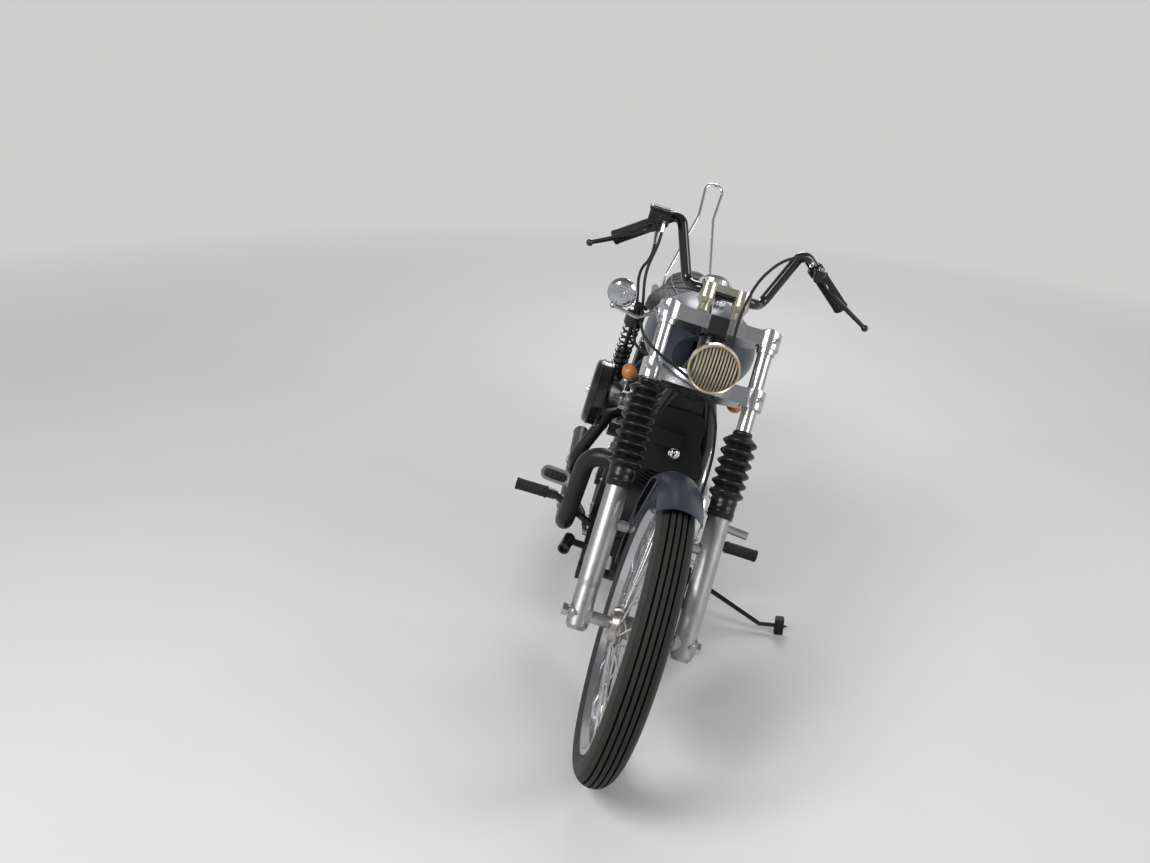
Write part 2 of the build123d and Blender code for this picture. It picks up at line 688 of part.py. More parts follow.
def fender_shell(radius, half, hub, ahead_deg, span_deg):
    """A rolled fender with a crowned section, from ahead of the hub's top round to the rear."""
    edge = radius - 0.5 * half
    inner_half = half - FENDER_T
    outline = [
        ThreePointArc((-half, edge), (0, radius), (half, edge)),
        Line((half, edge), (inner_half, edge)),
        ThreePointArc((inner_half, edge), (0, radius - FENDER_T), (-inner_half, edge)),
        Line((-inner_half, edge), (-half, edge)),
    ]
    shell = revolve(make_face(outline), Axis.X, span_deg)
    return along_x(Rot(90 + ahead_deg - span_deg, 0, 0) * shell, hub)


def around_hub(hub, x, radius, behind_deg):
    """A point beside a wheel, at a radius and an angle behind the hub's top."""
    angle = math.radians(behind_deg)
    return Vector(x, hub[1] + radius * math.sin(angle), hub[2] + radius * math.cos(angle))


def front_fender():
    """The short front fender with its stays down to the fork lugs."""
    body = fender_shell(FRONT_FENDER_R, FRONT_FENDER_HALF, FRONT_HUB, FRONT_FENDER_AHEAD, FRONT_FENDER_SPAN)
    edge = FRONT_FENDER_R - 0.5 * FRONT_FENDER_HALF + 2
    for side in (-1, 1):
        lug = fork_point(side * FENDER_LUG_END, 0, FENDER_LUG_U)
        inner = fork_point(side * (FENDER_LUG_END - 5), 0, FENDER_LUG_U)
        body += rod(inner, lug, 22)
        for behind in (12, 62):
            top = around_hub(FRONT_HUB, side * (FRONT_FENDER_HALF - 1.5), edge, behind)
            body += rod(inner, top, 7)
    return body


MIRROR_AT = Vector(-238, 350, 974)
MIRROR_R = 34.0


def mirror_arm():
    """A small round mirror on a bent stem from the top clamp's right end."""
    root = fork_point(-FORK_HALF - CLAMP_BOSS_R + 1, 0, UPPER_CLAMP_U + 12)
    elbow = Vector(-186, 350, 929)
    knee = Vector(-250, 352, 940)
    facing = Vector(0.10, 1.0, 0.05).normalized()
    body = rod(root, elbow, 8) + Pos(*elbow) * Sphere(4) + rod(elbow, knee, 8) + Pos(*knee) * Sphere(7)
    body += rod(knee, MIRROR_AT, 8)
    back = MIRROR_AT - facing * 14
    body += rod(back, MIRROR_AT, 44, 2 * MIRROR_R) + rod(MIRROR_AT, MIRROR_AT + facing * 6, 2 * MIRROR_R)
    return body - upper_clamp()


# Control lines

CORD_D = 7.0
CLUTCH_START = on_bar(PERCH_AT) + Vector(-20, -34, 14)
CLUTCH_ROUTE = [
    tuple(CLUTCH_START),
    (142, 455, 1160), (86, 402, 1141), (46, 354, 1094), (30, 325, 1028), (32, 306, 958),
    tuple(fork_point(46, -12, LOWER_CLAMP_U + LOWER_CLAMP_T / 2)),
]


def clutch_cable():
    """The black cable from the left lever, over the bar and down in front of the top clamp."""
    return bent_tube(CLUTCH_ROUTE, CORD_D, gentle_radii(CLUTCH_ROUTE)) - lever_side(1) - lower_clamp()


THROTTLE_ROUTE = [
    (-199, 545.5, 1099.5), (-192, 500, 1042), (-214, 446, 1012), (-190, 402, 926), (-176, 376, 856),
    tuple(fork_point(-130, 46, 614)), tuple(fork_point(-92, 34, 604)), tuple(fork_point(-68, 28, 600)),
]
BRAKE_ROUTE = [
    tuple(MASTER_AT + Vector(14, -18, -4)),
    (-188, 470, 1084), (-200, 428, 1018), (-182, 400, 950),
    tuple(fork_point(-174, 4, 660)), tuple(fork_point(-142, -50, 612)), tuple(fork_point(-62, -44, 580)),
    tuple(fork_point(8, -38, 552)), tuple(fork_point(52, -4, 508)), tuple(fork_point(76, 44, 430)),
    tuple(fork_point(76, 58, 330)), tuple(fork_point(74, 60, 240)), tuple(fork_point(66, 62, 171)),
]


CORD_ROUTES = {"clutch_cable": CLUTCH_ROUTE, "throttle_cable": THROTTLE_ROUTE, "brake_hose": BRAKE_ROUTE}


def throttle_cable():
    """The black cable from the right grip, down past the top clamp to the lower clamp."""
    hose = bent_tube(THROTTLE_ROUTE, CORD_D, gentle_radii(THROTTLE_ROUTE))
    return hose - lever_side(-1) - master_cylinder() - lower_clamp()


def brake_hose():
    """The brake hose from the right reservoir, behind the lamp and down to the caliper."""
    return bent_tube(BRAKE_ROUTE, CORD_D, gentle_radii(BRAKE_ROUTE)) - master_cylinder() - front_caliper()


# Side stand geometry
STAND_FOOT = (478.0, 569.0, 478.0 * SIN_LEAN / COS_LEAN)
STAND_BEND = (420.0, 576.0, 120.8)
STAND_TIP = (495.5, 568.5, 139.3)
STAND_D = 12.0
STAND_PAD = (24.0, 24.0, 47.0)
STAND_PIN_D = 9.0
STAND_EYE_R = 13.0
STAND_EYE_H = 24.0
STAND_FOLDED = Vector(0.03, 1.0, 0.02).normalized()
STAND_DOWN = (Vector(STAND_FOOT) - Vector(STAND_PIVOT)).normalized()
STAND_AXIS = STAND_DOWN.cross(STAND_FOLDED).normalized()
STAND_RANGE_DEG = math.degrees(math.acos(STAND_DOWN.dot(STAND_FOLDED)))
STAND_PLANE = Plane(origin=STAND_PIVOT, x_dir=STAND_DOWN, z_dir=STAND_AXIS)


# Frame


@cache
def frame_backbone():
    """The head tube with the backbone behind it and a gusset between backbone and downtubes."""
    low = LOWER_CLAMP_U + LOWER_CLAMP_T / 2 + HEAD_GAP
    high = UPPER_CLAMP_U - HEAD_GAP
    start = fork_point(0, STEER_OFFSET, low)
    end = fork_point(0, STEER_OFFSET, high)
    middle = fork_point(0, STEER_OFFSET, UPPER_CLAMP_U - BACKBONE_BELOW)
    rear = Vector(0, SEAT_POST_Y - 40, 742)
    body = rod(start, end, HEAD_TUBE_D) + rod(middle, rear, BACKBONE_D)
    gusset = [
        (start.Y + 6, start.Z + 4), (start.Y + 62, start.Z - 34),
        (start.Y + 150, middle.Z - 48), (middle.Y + 60, middle.Z - 8),
    ]
    body += side_plate(gusset, -5, 5)
    body += rod((-80, rear.Y, rear.Z), (80, rear.Y, rear.Z), TUBE)
    for share, lift in TANK_STUDS:
        at = middle + (rear - middle) * share + Vector(0, 0, lift)
        body += rod((-TUNNEL_HALF, at.Y, at.Z), (TUNNEL_HALF, at.Y, at.Z), 18)
    bore = rod(fork_point(0, STEER_OFFSET, low - 1), fork_point(0, STEER_OFFSET, high + 1), STEM_D + 1)
    return body - bore


def cradle_route(side):
    """The left or right cradle tube, from the head down under the engine and up to the rear."""
    head = fork_point(side * 20, STEER_OFFSET + 20, UPPER_CLAMP_U - CRADLE_BELOW)
    return [
        tuple(head),
        (side * 78, DOWNTUBE_Y - 20, 655),
        (side * RAIL_X, DOWNTUBE_Y, 430),
        (side * RAIL_X, DOWNTUBE_Y + 8, RAIL_Z),
        (side * RAIL_X, SEAT_POST_Y - 195, RAIL_Z),
        (side * POST_X, SEAT_POST_Y + 10, RAIL_Z + 25),
        (side * POST_X, SEAT_POST_Y + 17, PIVOT_Z),
        (side * (POST_X + 12), SEAT_POST_Y - 40, 742),
    ]


@cache
def frame_cradle():
    """Two cradle tubes joined by cross tubes, with engine lugs and the side stand's ear."""
    body = None
    for side in (-1, 1):
        tube = bent_tube(cradle_route(side), TUBE, [60, 60, 70, 70, 60, 60])
        body = tube if body is None else body + tube
    for y in (DOWNTUBE_Y + 60, SEAT_POST_Y - 215):
        body += rod((-RAIL_X, y, RAIL_Z), (RAIL_X, y, RAIL_Z), 26)
    body += rod((-PIVOT_HALF, PIVOT_Y, PIVOT_Z), (PIVOT_HALF, PIVOT_Y, PIVOT_Z), 44)
    for level in (-1, 1):
        ear = Pos(0, 0, level * (STAND_EYE_H / 2 + 3.3)) * Box(34, 30, 6)
        body += STAND_PLANE * Pos(-6, 0, 0) * ear
    rail = Vector(RAIL_X, STAND_PIVOT[1], RAIL_Z)
    body += rod(rail, Vector(STAND_PIVOT) - Vector(19, 0, 0), 30)
    body -= STAND_PLANE * Cylinder(STAND_EYE_R + 4, STAND_EYE_H + 0.6)
    body += STAND_PLANE * Cylinder(4.5, STAND_EYE_H + 22)
    return (body - frame_backbone()).solids().sort_by(SortBy.VOLUME)[-1]


@cache
def frame_rails():
    """The seat rails and fender struts, from the backbone's rear end to over the rear hub."""
    body = None
    for side in (-1, 1):
        points = [
            (side * 78, SEAT_POST_Y - 26, 740),
            (side * STRUT_X, SEAT_POST_Y + 90, 700),
            (side * STRUT_X, WHEELBASE + 40, RAILS_Z),
        ]
        tube = bent_tube(points, 26, [60])
        body = tube if body is None else body + tube
    body += rod((-STRUT_X, SEAT_POST_Y + 110, 700), (STRUT_X, SEAT_POST_Y + 110, 700), 20)
    return (body - frame_backbone() - frame_cradle()).solids().sort_by(SortBy.VOLUME)[-1]


def swingarm():
    """The swingarm: two arms, a pivot tube and a cross tube, with slotted axle plates."""
    body = rod((-ARM_X, PIVOT_Y + 78, PIVOT_Z), (ARM_X, PIVOT_Y + 78, PIVOT_Z), 38)
    hub = Vector(REAR_HUB)
    for side in (-1, 1):
        body += rod((side * ARM_X, PIVOT_Y, PIVOT_Z), (side * ARM_X, hub.Y - 30, hub.Z + 4), ARM_D)
        body += side_plate(
            [(hub.Y - 70, hub.Z - 24), (hub.Y + 40, hub.Z - 24), (hub.Y + 40, hub.Z + 24), (hub.Y - 70, hub.Z + 24)],
            side * ARM_X - 6, side * ARM_X + 6)
        body += rod((side * PIVOT_HALF, PIVOT_Y, PIVOT_Z), (side * (ARM_X + 20), PIVOT_Y, PIVOT_Z), 48)
    return body - along_x(drum(-ARM_X - 20, ARM_X + 20, AXLE_D / 2), REAR_HUB) - frame_cradle()


def rear_axle():
    """The rear axle with its head, nut and spacers."""
    outer = ARM_X + 6
    body = drum(-outer - 14, outer + 14, AXLE_D / 2)
    body += Plane(origin=(-outer - 14, 0, 0), z_dir=(1, 0, 0)) * extrude(RegularPolygon(16, 6), 14)
    body += Plane(origin=(outer, 0, 0), z_dir=(1, 0, 0)) * extrude(RegularPolygon(16, 6), 14)
    body += drum(-ARM_X + 6, -CHAIN_X - DISC_T / 2 - 1, 14)
    body += drum(CHAIN_X + SPROCKET_T / 2 + 1, ARM_X - 6, 14)
    return along_x(body, REAR_HUB)


SHOCK_X = 146.0
SHOCK_TOP = (1436.0, 668.0)
SHOCK_FOOT = (1540.0, 334.0)


def shocks():
    """Two coil-over shock absorbers outside the swingarm, with their eyes and studs."""
    pieces = []
    for side in (-1, 1):
        foot = Vector(side * SHOCK_X, *SHOCK_FOOT)
        top = Vector(side * SHOCK_X, *SHOCK_TOP)
        length = (top - foot).length
        outline = [(0, 0), (14, 0), (14, 30), (24, 34)]
        coils = 9
        pitch = (length - 34 - 110) / coils
        for i in range(coils):
            base = 36 + i * pitch
            outline += [(22, base), (29, base + 0.3 * pitch), (29, base + 0.6 * pitch), (22, base + 0.95 * pitch)]
        outline += [(33, length - 72), (33, length - 30), (16, length - 22), (0, length - 22)]
        body = turned(outline, Plane(origin=foot, x_dir=(1, 0, 0), z_dir=top - foot))
        for eye in (foot, top):
            body += Plane(origin=eye - Vector(15, 0, 0), z_dir=(1, 0, 0)) * Cylinder(17, 30, align=BASE)
        body += rod(top - (top - foot) * (24 / length), top, 24)
        inner_low = ARM_X + ARM_D / 2
        inner_high = STRUT_X + 13
        body += rod(foot, (side * inner_low, foot.Y, foot.Z), 18)
        body += rod(top, (side * inner_high, top.Y, top.Z), 18)
        pieces.append(body)
    return pieces


def cylinder_plane(tilt):
    """The frame of one cylinder: Z up its bore from the crank, X to the left."""
    angle = math.radians(tilt * CYLINDER_TILT)
    return Plane(origin=(0, CRANK_Y, CRANK_Z), x_dir=(1, 0, 0), z_dir=(0, math.sin(angle), math.cos(angle)))


@cache
def engine_cases():
    """Crankcase, cam cover, tappet blocks, gearbox and oil filter as one casting group."""
    body = along_x(drum(-CASE_HALF, CASE_HALF, 116), (0, CRANK_Y, CRANK_Z))
    gearbox = [(800, 226), (1010, 240), (1030, 300), (1022, 420), (930, 448), (800, 440)]
    body += side_plate(gearbox, -CASE_HALF, CASE_HALF)
    for tilt in (-1, 1):
        body += cylinder_plane(tilt) * Pos(0, 0, 70) * Cylinder(58, DECK - 70, align=BASE)
        for y in (-17, 17):
            body += cylinder_plane(tilt) * Pos(-84, y, 60) * Cylinder(15, TAPPET_TOP - 60, align=BASE)
    cover = [(612, 300), (640, 236), (750, 228), (810, 280), (806, 400), (756, 448), (650, 448), (612, 390)]
    cam = side_plate(cover, -CAM_COVER_OUT, -CASE_HALF)
    cam = fillet(cam.edges().filter_by(Axis.X), 20)
    body += cam
    body += along_x(drum(-CAM_COVER_OUT - 12, -CAM_COVER_OUT, 40), (0, 742, 352))
    body += along_x(drum(CASE_HALF, CHAIN_X - SPROCKET_T / 2, 30), (0, GEARBOX_Y, GEARBOX_Z))
    body += rod((-30, 640, 264), (-30, 512, 256), 76) + rod((-30, 512, 256), (-30, 505, 255.5), 60)
    rear_foot = [(830, 240), (836, 172), (884, 172), (960, 240)]
    front_foot = [(494, 166), (500, 184), (560, 214), (640, 262), (684, 222), (528, 162)]
    for outline in (rear_foot, front_foot):
        body += side_plate(outline, -36, 36)
    return body - frame_cradle()


@cache
def cylinders():
    """Two finned cylinder barrels in a V, their fins cut back where they meet."""
    pieces = []
    for tilt in (-1, 1):
        body = Pos(0, 0, DECK) * Cylinder(BARREL_R, FIN_COUNT * FIN_PITCH, align=BASE)
        for i in range(FIN_COUNT):
            body += Pos(0, 0, DECK + 5 + i * FIN_PITCH) * Cylinder(FIN_R, 4, align=BASE)
        body = cylinder_plane(tilt) * body
        y = CRANK_Y - tilt * 100 + tilt * 2
        body -= Pos(0, y, CRANK_Z + 200) * Box(300, 200, 600)
        pieces.append(body - engine_cases())
    return pieces


@cache
def cylinder_heads():
    """Finned heads with stepped rocker covers and domed bolts."""
    pieces = []
    for tilt in (-1, 1):
        body = Pos(-6, 0, HEAD_LOW) * Box(124, 120, HEAD_H, align=BASE)
        body = fillet(body.edges().filter_by(Axis.Z), 24)
        for i in range(4):
            fin = RectangleRounded(150, 144, 34)
            body += Pos(-4, 0, HEAD_LOW + 3 + i * 14) * extrude(fin, 4.5)
        body += Pos(-74, 0, HEAD_LOW) * Box(44, 64, HEAD_H, align=BASE)
        cover = extrude(RectangleRounded(148, 126, 20), ROCKER_H - 18)
        cover += Pos(0, 0, ROCKER_H - 18) * extrude(RectangleRounded(128, 104, 18), 18)
        cover += Pos(0, 0, 16) * extrude(RectangleRounded(154, 132, 22), 6)
        body += Pos(-8, 0, HEAD_LOW + HEAD_H) * cover
        pieces.append(cylinder_plane(tilt) * body)
    return pieces


@cache
def pushrod_tubes():
    """Four chromed pushrod tubes between the tappet blocks and the heads."""
    pieces = []
    for tilt in (-1, 1):
        for y in (-17, 17):
            tube = Pos(-84, y, TAPPET_TOP) * Cylinder(10, HEAD_LOW - TAPPET_TOP, align=BASE)
            tube += Pos(-84, y, TAPPET_TOP) * Cylinder(13, 14, align=BASE)
            pieces.append(cylinder_plane(tilt) * tube)
    return pieces


@cache
def primary_case():
    """The polished primary chain case on the left with its clutch and inspection covers."""
    front, rear = (CRANK_Y, CRANK_Z), (CLUTCH_Y, CLUTCH_Z)
    body = slot_plate(front, rear, PRIMARY_R, PRIMARY_IN, PRIMARY_OUT - 16)
    outer = body.faces().sort_by(Axis.X)[-1]
    body = fillet(outer.edges(), 20)
    body += along_x(drum(PRIMARY_OUT - 16, PRIMARY_OUT, 76), (0, *rear))
    body += along_x(drum(PRIMARY_OUT - 16, PRIMARY_OUT - 8, 52), (0, *front))
    body += slot_plate((CRANK_Y + 8, CRANK_Z), (800, 338), 88, CASE_HALF, PRIMARY_IN)
    return body


CARB_Y = 704.0
FILTER_Y = 742.0
FILTER_Z = 582.0
FILTER_R = 92.0
FILTER_OUT = -236.0
FILTER_T = 56.0


def intake():
    """The intake elbow, carburettor and chromed backing cone behind the air cleaner."""
    inner = FILTER_OUT + FILTER_T
    body = rod((-40, CARB_Y, 588), (-96, CARB_Y + 8, 590), 44)
    body += Pos(-106, CARB_Y + 10, 590) * Box(40, 46, 62)
    cone = Plane(origin=(inner, FILTER_Y, FILTER_Z), z_dir=(1, 0, 0)) * Cone(58, 32, 34, align=BASE)
    body += cone + rod((-118, CARB_Y + 14, 592), (inner + 34, FILTER_Y, FILTER_Z), 52)
    body += rod((-40, CARB_Y, 588), (0, CARB_Y, 588), 36)
    for tilt in (-1, 1):
        port = Vector(0, CARB_Y + tilt * 52, 598)
        body += rod((0, CARB_Y, 588), port, 34)
    for tube in pushrod_tubes() + cylinder_heads() + cylinders():
        body -= tube
    return body.solids().sort_by(SortBy.VOLUME)[-1]


def air_cleaner():
    """The round black air cleaner can with its rolled edge."""
    outline = [
        (0, 0), (FILTER_R - 14, 0), (FILTER_R - 5, 4), (FILTER_R, 14), (FILTER_R, FILTER_T - 8),
        (FILTER_R - 6, FILTER_T), (0, FILTER_T),
    ]
    face = Plane(origin=(FILTER_OUT, FILTER_Y, FILTER_Z), x_dir=(0, 1, 0), z_dir=(1, 0, 0))
    return turned(outline, face)


PIPE_D = 50.0
REAR_PIPE_D = 38.0
FRONT_PIPE_ROUTE = [
    (-52, 520, 584), (-70, 496, 506), (-190, 522, 492), (-194, 566, 240), (-206, 1240, 240),
]
PIPE_OUT = (Vector(FRONT_PIPE_ROUTE[-1]) - Vector(FRONT_PIPE_ROUTE[-2])).normalized()
OUTLET_D = PIPE_D - 5
OUTLET_DEPTH = 60.0
REAR_PIPE_ROUTE = [
    (-45, 868, 578), (-62, 905, 500), (-150, 885, 486), (-212, 862, 320), (-203, 930, 246),
]


@cache
def exhaust_front():
    """The front exhaust pipe: forward from the head, out, down and back to its open end."""
    body = bent_tube(FRONT_PIPE_ROUTE, PIPE_D, [36, 55, 60])
    end = Vector(FRONT_PIPE_ROUTE[-1])
    body -= rod(end - PIPE_OUT * OUTLET_DEPTH, end + PIPE_OUT, OUTLET_D)
    for part in cylinder_heads() + cylinders() + [frame_cradle()]:
        body -= part
    return body.solids().sort_by(SortBy.VOLUME)[-1]


def exhaust_rear():
    """The rear cylinder's pipe, down the right side into the front pipe's long run."""
    body = bent_tube(REAR_PIPE_ROUTE, REAR_PIPE_D, [30, 40, 45])
    for part in [exhaust_front()] + cylinder_heads() + cylinders():
        body -= part
    return body.solids().sort_by(SortBy.VOLUME)[-1]


TANK_SECTIONS = [
    # y, half width, bottom, top
    (470, 74, 800, 902),
    (530, 120, 768, 934),
    (640, 147, TANK_LOW, TANK_TOP),
    (810, 118, TANK_LOW, 928),
    (965, 58, 757, 862),
]


def rounded_section(y, half, low, top):
    """A body section across the machine: flat below, bowed sides and a crowned top."""
    height = top - low
    plane = Plane(origin=(0, y, 0), x_dir=(1, 0, 0), z_dir=(0, -1, 0))
    waist = 0.62 * half
    shoulder = low + 0.84 * height
    outline = [
        Line((-waist, low), (waist, low)),
        ThreePointArc((waist, low), (half, low + 0.40 * height), (waist, shoulder)),
        ThreePointArc((waist, shoulder), (0, top), (-waist, shoulder)),
        ThreePointArc((-waist, shoulder), (-half, low + 0.40 * height), (-waist, low)),
    ]
    return plane * make_face(outline)


@cache
def fuel_tank():
    """The teardrop fuel tank over the backbone, with its tunnel."""
    body = loft([rounded_section(*row) for row in TANK_SECTIONS])
    slope = (742 - 871) / (SEAT_POST_Y - 40 - 381)
    roof = [(y, 871 + slope * (y - 381) + BACKBONE_D / 2 + 6) for y in (440, 1000)]
    tunnel = side_plate([(440, 700), *roof, (1000, 700)], -TUNNEL_HALF, TUNNEL_HALF)
    return body - tunnel


def fuel_cap():
    """The chromed filler cap on the tank's crown."""
    outline = [(0, 0), (27, 0), (30, 5), (30, 14), (24, 19), (0, 21)]
    return turned(outline, Plane(origin=(0, 640, TANK_TOP - 4), x_dir=(1, 0, 0), z_dir=(0, 0, 1))) - fuel_tank()


SEAT_SECTIONS = [
    # y, half width, bottom, top
    (978, 78, 762, 824),
    (1060, 122, 762, 806),
    (1150, 150, 742, 806),
    (1240, 140, 716, 822),
    (1330, 110, 716, 842),
    (1440, 92, 716, 838),
]


def seat():
    """The padded seat, a plain closed form from the tank's rear to over the fender."""
    body = loft([rounded_section(*row) for row in SEAT_SECTIONS])
    return body - fuel_tank() - frame_backbone()


@cache
def rear_fender():
    """The long rear fender round the rear tyre, with its studs to the seat rails."""
    body = fender_shell(REAR_FENDER_R, REAR_FENDER_HALF, REAR_HUB, 52, 130)
    for side in (-1, 1):
        for behind in FENDER_STUDS_DEG:
            foot = around_hub(REAR_HUB, side * (REAR_FENDER_HALF - 10), REAR_FENDER_R - 27.5, behind)
            body += rod(foot, (side * STRUT_X, foot.Y, RAILS_Z), 14)
    return body - frame_rails()


SISSY_D = 12.0
SISSY_ROUTE = [(83, 1625.7, 672), (80, 1632, 752), (27, 1773, 960), (33, 1848, 1070)]


def sissy_bar():
    """The chromed rod backrest bar behind the seat."""
    points = SISSY_ROUTE + mirrored(SISSY_ROUTE[::-1])
    bar = bent_tube(points, SISSY_D, [30, 30, 30, 30, 30, 30]) - frame_rails() - rear_fender()
    return bar.solids().sort_by(SortBy.VOLUME)[-1]


def tail_lamp():
    """A small round tail lamp on a bracket at the rear fender's end."""
    root = around_hub(REAR_HUB, 0, REAR_FENDER_R, 60)
    body = rod(root, root + Vector(0, 30, 8), 22)
    body += rod(root + Vector(0, 26, 7), root + Vector(0, 52, 14), 70)
    body += rod(root + Vector(0, 52, 14), root + Vector(0, 64, 17), 66, 50)
    return body - rear_fender()


def oil_tank():
    """The oil tank across the frame under the seat."""
    body = Pos(0, 982, 610) * Box(260, 92, 176)
    body = fillet(body.edges().filter_by(Axis.X), 26)
    body = fillet(body.faces().sort_by(Axis.X)[-1].edges() + body.faces().sort_by(Axis.X)[0].edges(), 8)
    for part in [frame_cradle(), frame_backbone()] + cylinder_heads():
        body -= part
    return body.solids().sort_by(SortBy.VOLUME)[-1]


UNIT_T = 20.0
UNIT_OUTLINE = [(-90, 548), (86, 548), (92, 580), (63, 645), (60, 722), (-90, 722)]


def front_unit():
    """The black plate between the downtubes, with its connector box and domed centre bolt."""
    face = make_face(Polyline(*UNIT_OUTLINE, close=True))
    body = extrude(face, UNIT_T)
    body = fillet(body.edges().filter_by(Axis.Z), 9)
    body += Pos(-23, 648, UNIT_T + 9) * Box(76, 40, 18)
    body += Pos(6, 612, UNIT_T) * Cylinder(14.5, 7, align=BASE) + Pos(6, 612, UNIT_T + 5) * Sphere(10)
    body = Plane(origin=(0, DOWNTUBE_Y - 22, 0), x_dir=(1, 0, 0), z_dir=(0, -1, 0)) * body
    return body - frame_cradle()


def turn_signals():
    """A pair of small round amber lamps on short stalks under the tank."""
    pieces = []
    for side in (-1, 1):
        centre = Vector(side * 147, 650, 696)
        body = rod(centre + Vector(0, 22, 2), centre - Vector(0, 16, 0), 44)
        body += rod(centre - Vector(0, 16, 0), centre - Vector(0, 24, 0), 44, 30)
        body += rod(centre + Vector(0, 10, 0), (side * 98, 660, 770), 12)
        pieces.append((body - fuel_tank()).solids().sort_by(SortBy.VOLUME)[-1])
    return pieces


PEG_Y = 634.0
PEG_Z = 292.0
CONTROL_X = 118.0
END_TUBE = ((-175, 510, 203), (-166, 572, 207))
END_TUBE_D = 33.0
PAD_PLANE = Plane(origin=(-254, 640, 346), x_dir=(1, 0, -0.06), z_dir=(0, -0.86, 0.5))
PAD_SIZE = (86.0, 42.0)
PAD_WALL = 4.0
PAD_DEEP = 16.0


@cache
def forward_controls():
    """The forward brackets, their bosses and the folding rubber foot pegs."""
    pieces = []
    for side in (-1, 1):
        outline = [(470, 150), (520, 150), (600, 190), (622, 262), (596, 276), (540, 220), (470, 190)]
        plate = side_plate(outline, side * CONTROL_X - 7, side * CONTROL_X + 7)
        root = Vector(side * CONTROL_X, 600, 252)
        knee = Vector(side * 240, PEG_Y, PEG_Z)
        body = plate + rod(root, knee, 20) + rod((side * 104, 495, 172), (side * 126, 495, 172), 40)
        body += rod(knee - Vector(side * 8, 0, 0), knee + Vector(side * 16, 0, 0), 26)
        body += rod(knee, (side * 353, PEG_Y - 2, PEG_Z), 30)
        pieces.append(body)
    mouth, rear = Vector(END_TUBE[0]), Vector(END_TUBE[1])
    pieces[0] += rod(mouth, rear, END_TUBE_D) + rod((-CONTROL_X, 566, 200), (-168, 560, 206), 20)
    pieces[0] -= rod(mouth, mouth + (rear - mouth).normalized() * 10, END_TUBE_D - 11)
    shield = [frame_cradle(), exhaust_front()]
    for part in shield:
        pieces = [piece - part for piece in pieces]
    pieces[1] -= primary_case()
    return [piece.solids().sort_by(SortBy.VOLUME)[-1] for piece in pieces]


def foot_levers():
    """The brake pedal with its oval pad and the shift lever with its peg."""
    hollow = SlotOverall(PAD_SIZE[0] - 2 * PAD_WALL, PAD_SIZE[1] - 2 * PAD_WALL)
    pad = PAD_PLANE * (extrude(SlotOverall(*PAD_SIZE), PAD_DEEP) - Pos(0, 0, 6) * extrude(hollow, PAD_DEEP - 6))
    pedal = pad + rod((-228, 639, 348), (-150, 640, 262), 14) + rod((-150, 640, 262), (-130, 586, 232), 14)
    pedal += rod((-136, 586, 232), (-CONTROL_X, 586, 232), 20)
    shift = rod((250, 640, 345), (308, 636, 342), 24) + rod((252, 640, 345), (215, 640, 330), 14)
    shift += rod((215, 640, 330), (206, 600, 240), 14) + rod((206, 600, 240), (126, 580, 225), 14)
    controls = forward_controls()
    parts = []
    for lever in (pedal, shift):
        for other in controls + [exhaust_front(), primary_case()]:
            lever -= other
        parts.append(lever.solids().sort_by(SortBy.VOLUME)[-1])
    return parts


def chain_loop(x_from, x_to, out):
    """A closed loop round both sprockets at one distance outside their pitch circles."""
    front_r = sprocket_radius(GEARBOX_TEETH) + out
    rear_r = sprocket_radius(REAR_TEETH) + out
    dy = REAR_HUB[1] - GEARBOX_Y
    dz = REAR_HUB[2] - GEARBOX_Z
    run = math.hypot(dy, dz)
    lean = math.asin((rear_r - front_r) / run)
    base = math.atan2(dz, dy)
    up, down = base + math.pi / 2 + lean, base - math.pi / 2 - lean

    def on(centre, radius, angle):
        return (centre[0] + radius * math.cos(angle), centre[1] + radius * math.sin(angle))

    front, rear = (GEARBOX_Y, GEARBOX_Z), (REAR_HUB[1], REAR_HUB[2])
    outline = [
        Line(on(front, front_r, up), on(rear, rear_r, up)),
        ThreePointArc(on(rear, rear_r, up), on(rear, rear_r, base), on(rear, rear_r, down)),
        Line(on(rear, rear_r, down), on(front, front_r, down)),
        ThreePointArc(on(front, front_r, down), on(front, front_r, base + math.pi), on(front, front_r, up)),
    ]
    return Plane(origin=(x_from, 0, 0), x_dir=(0, 1, 0), z_dir=(1, 0, 0)) * extrude(make_face(outline), x_to - x_from)


def drive_chain():
    """The drive chain's rows of link plates over its rollers, with the gearbox sprocket."""
    inner = SPROCKET_T / 2 + 1.5
    body = chain_loop(CHAIN_X - inner, CHAIN_X + inner, 4) - chain_loop(CHAIN_X - inner, CHAIN_X + inner, -4)
    body -= along_x(drum(CHAIN_X - inner, CHAIN_X + inner, sprocket_radius(REAR_TEETH) + 9), REAR_HUB)
    for low in (CHAIN_X - inner - 3, CHAIN_X + inner):
        body += chain_loop(low, low + 3, 6.5) - chain_loop(low, low + 3, -6.5)
    body += along_x(toothed_plate(GEARBOX_TEETH), (0, GEARBOX_Y, GEARBOX_Z))
    return body


GROUND_UP = Vector(-SIN_LEAN, 0, COS_LEAN)


def stand_pad_centre():
    """The middle of the stand's rubber block, which stands flat on the ground."""
    return Vector(STAND_FOOT) + GROUND_UP * (STAND_PAD[2] / 2)


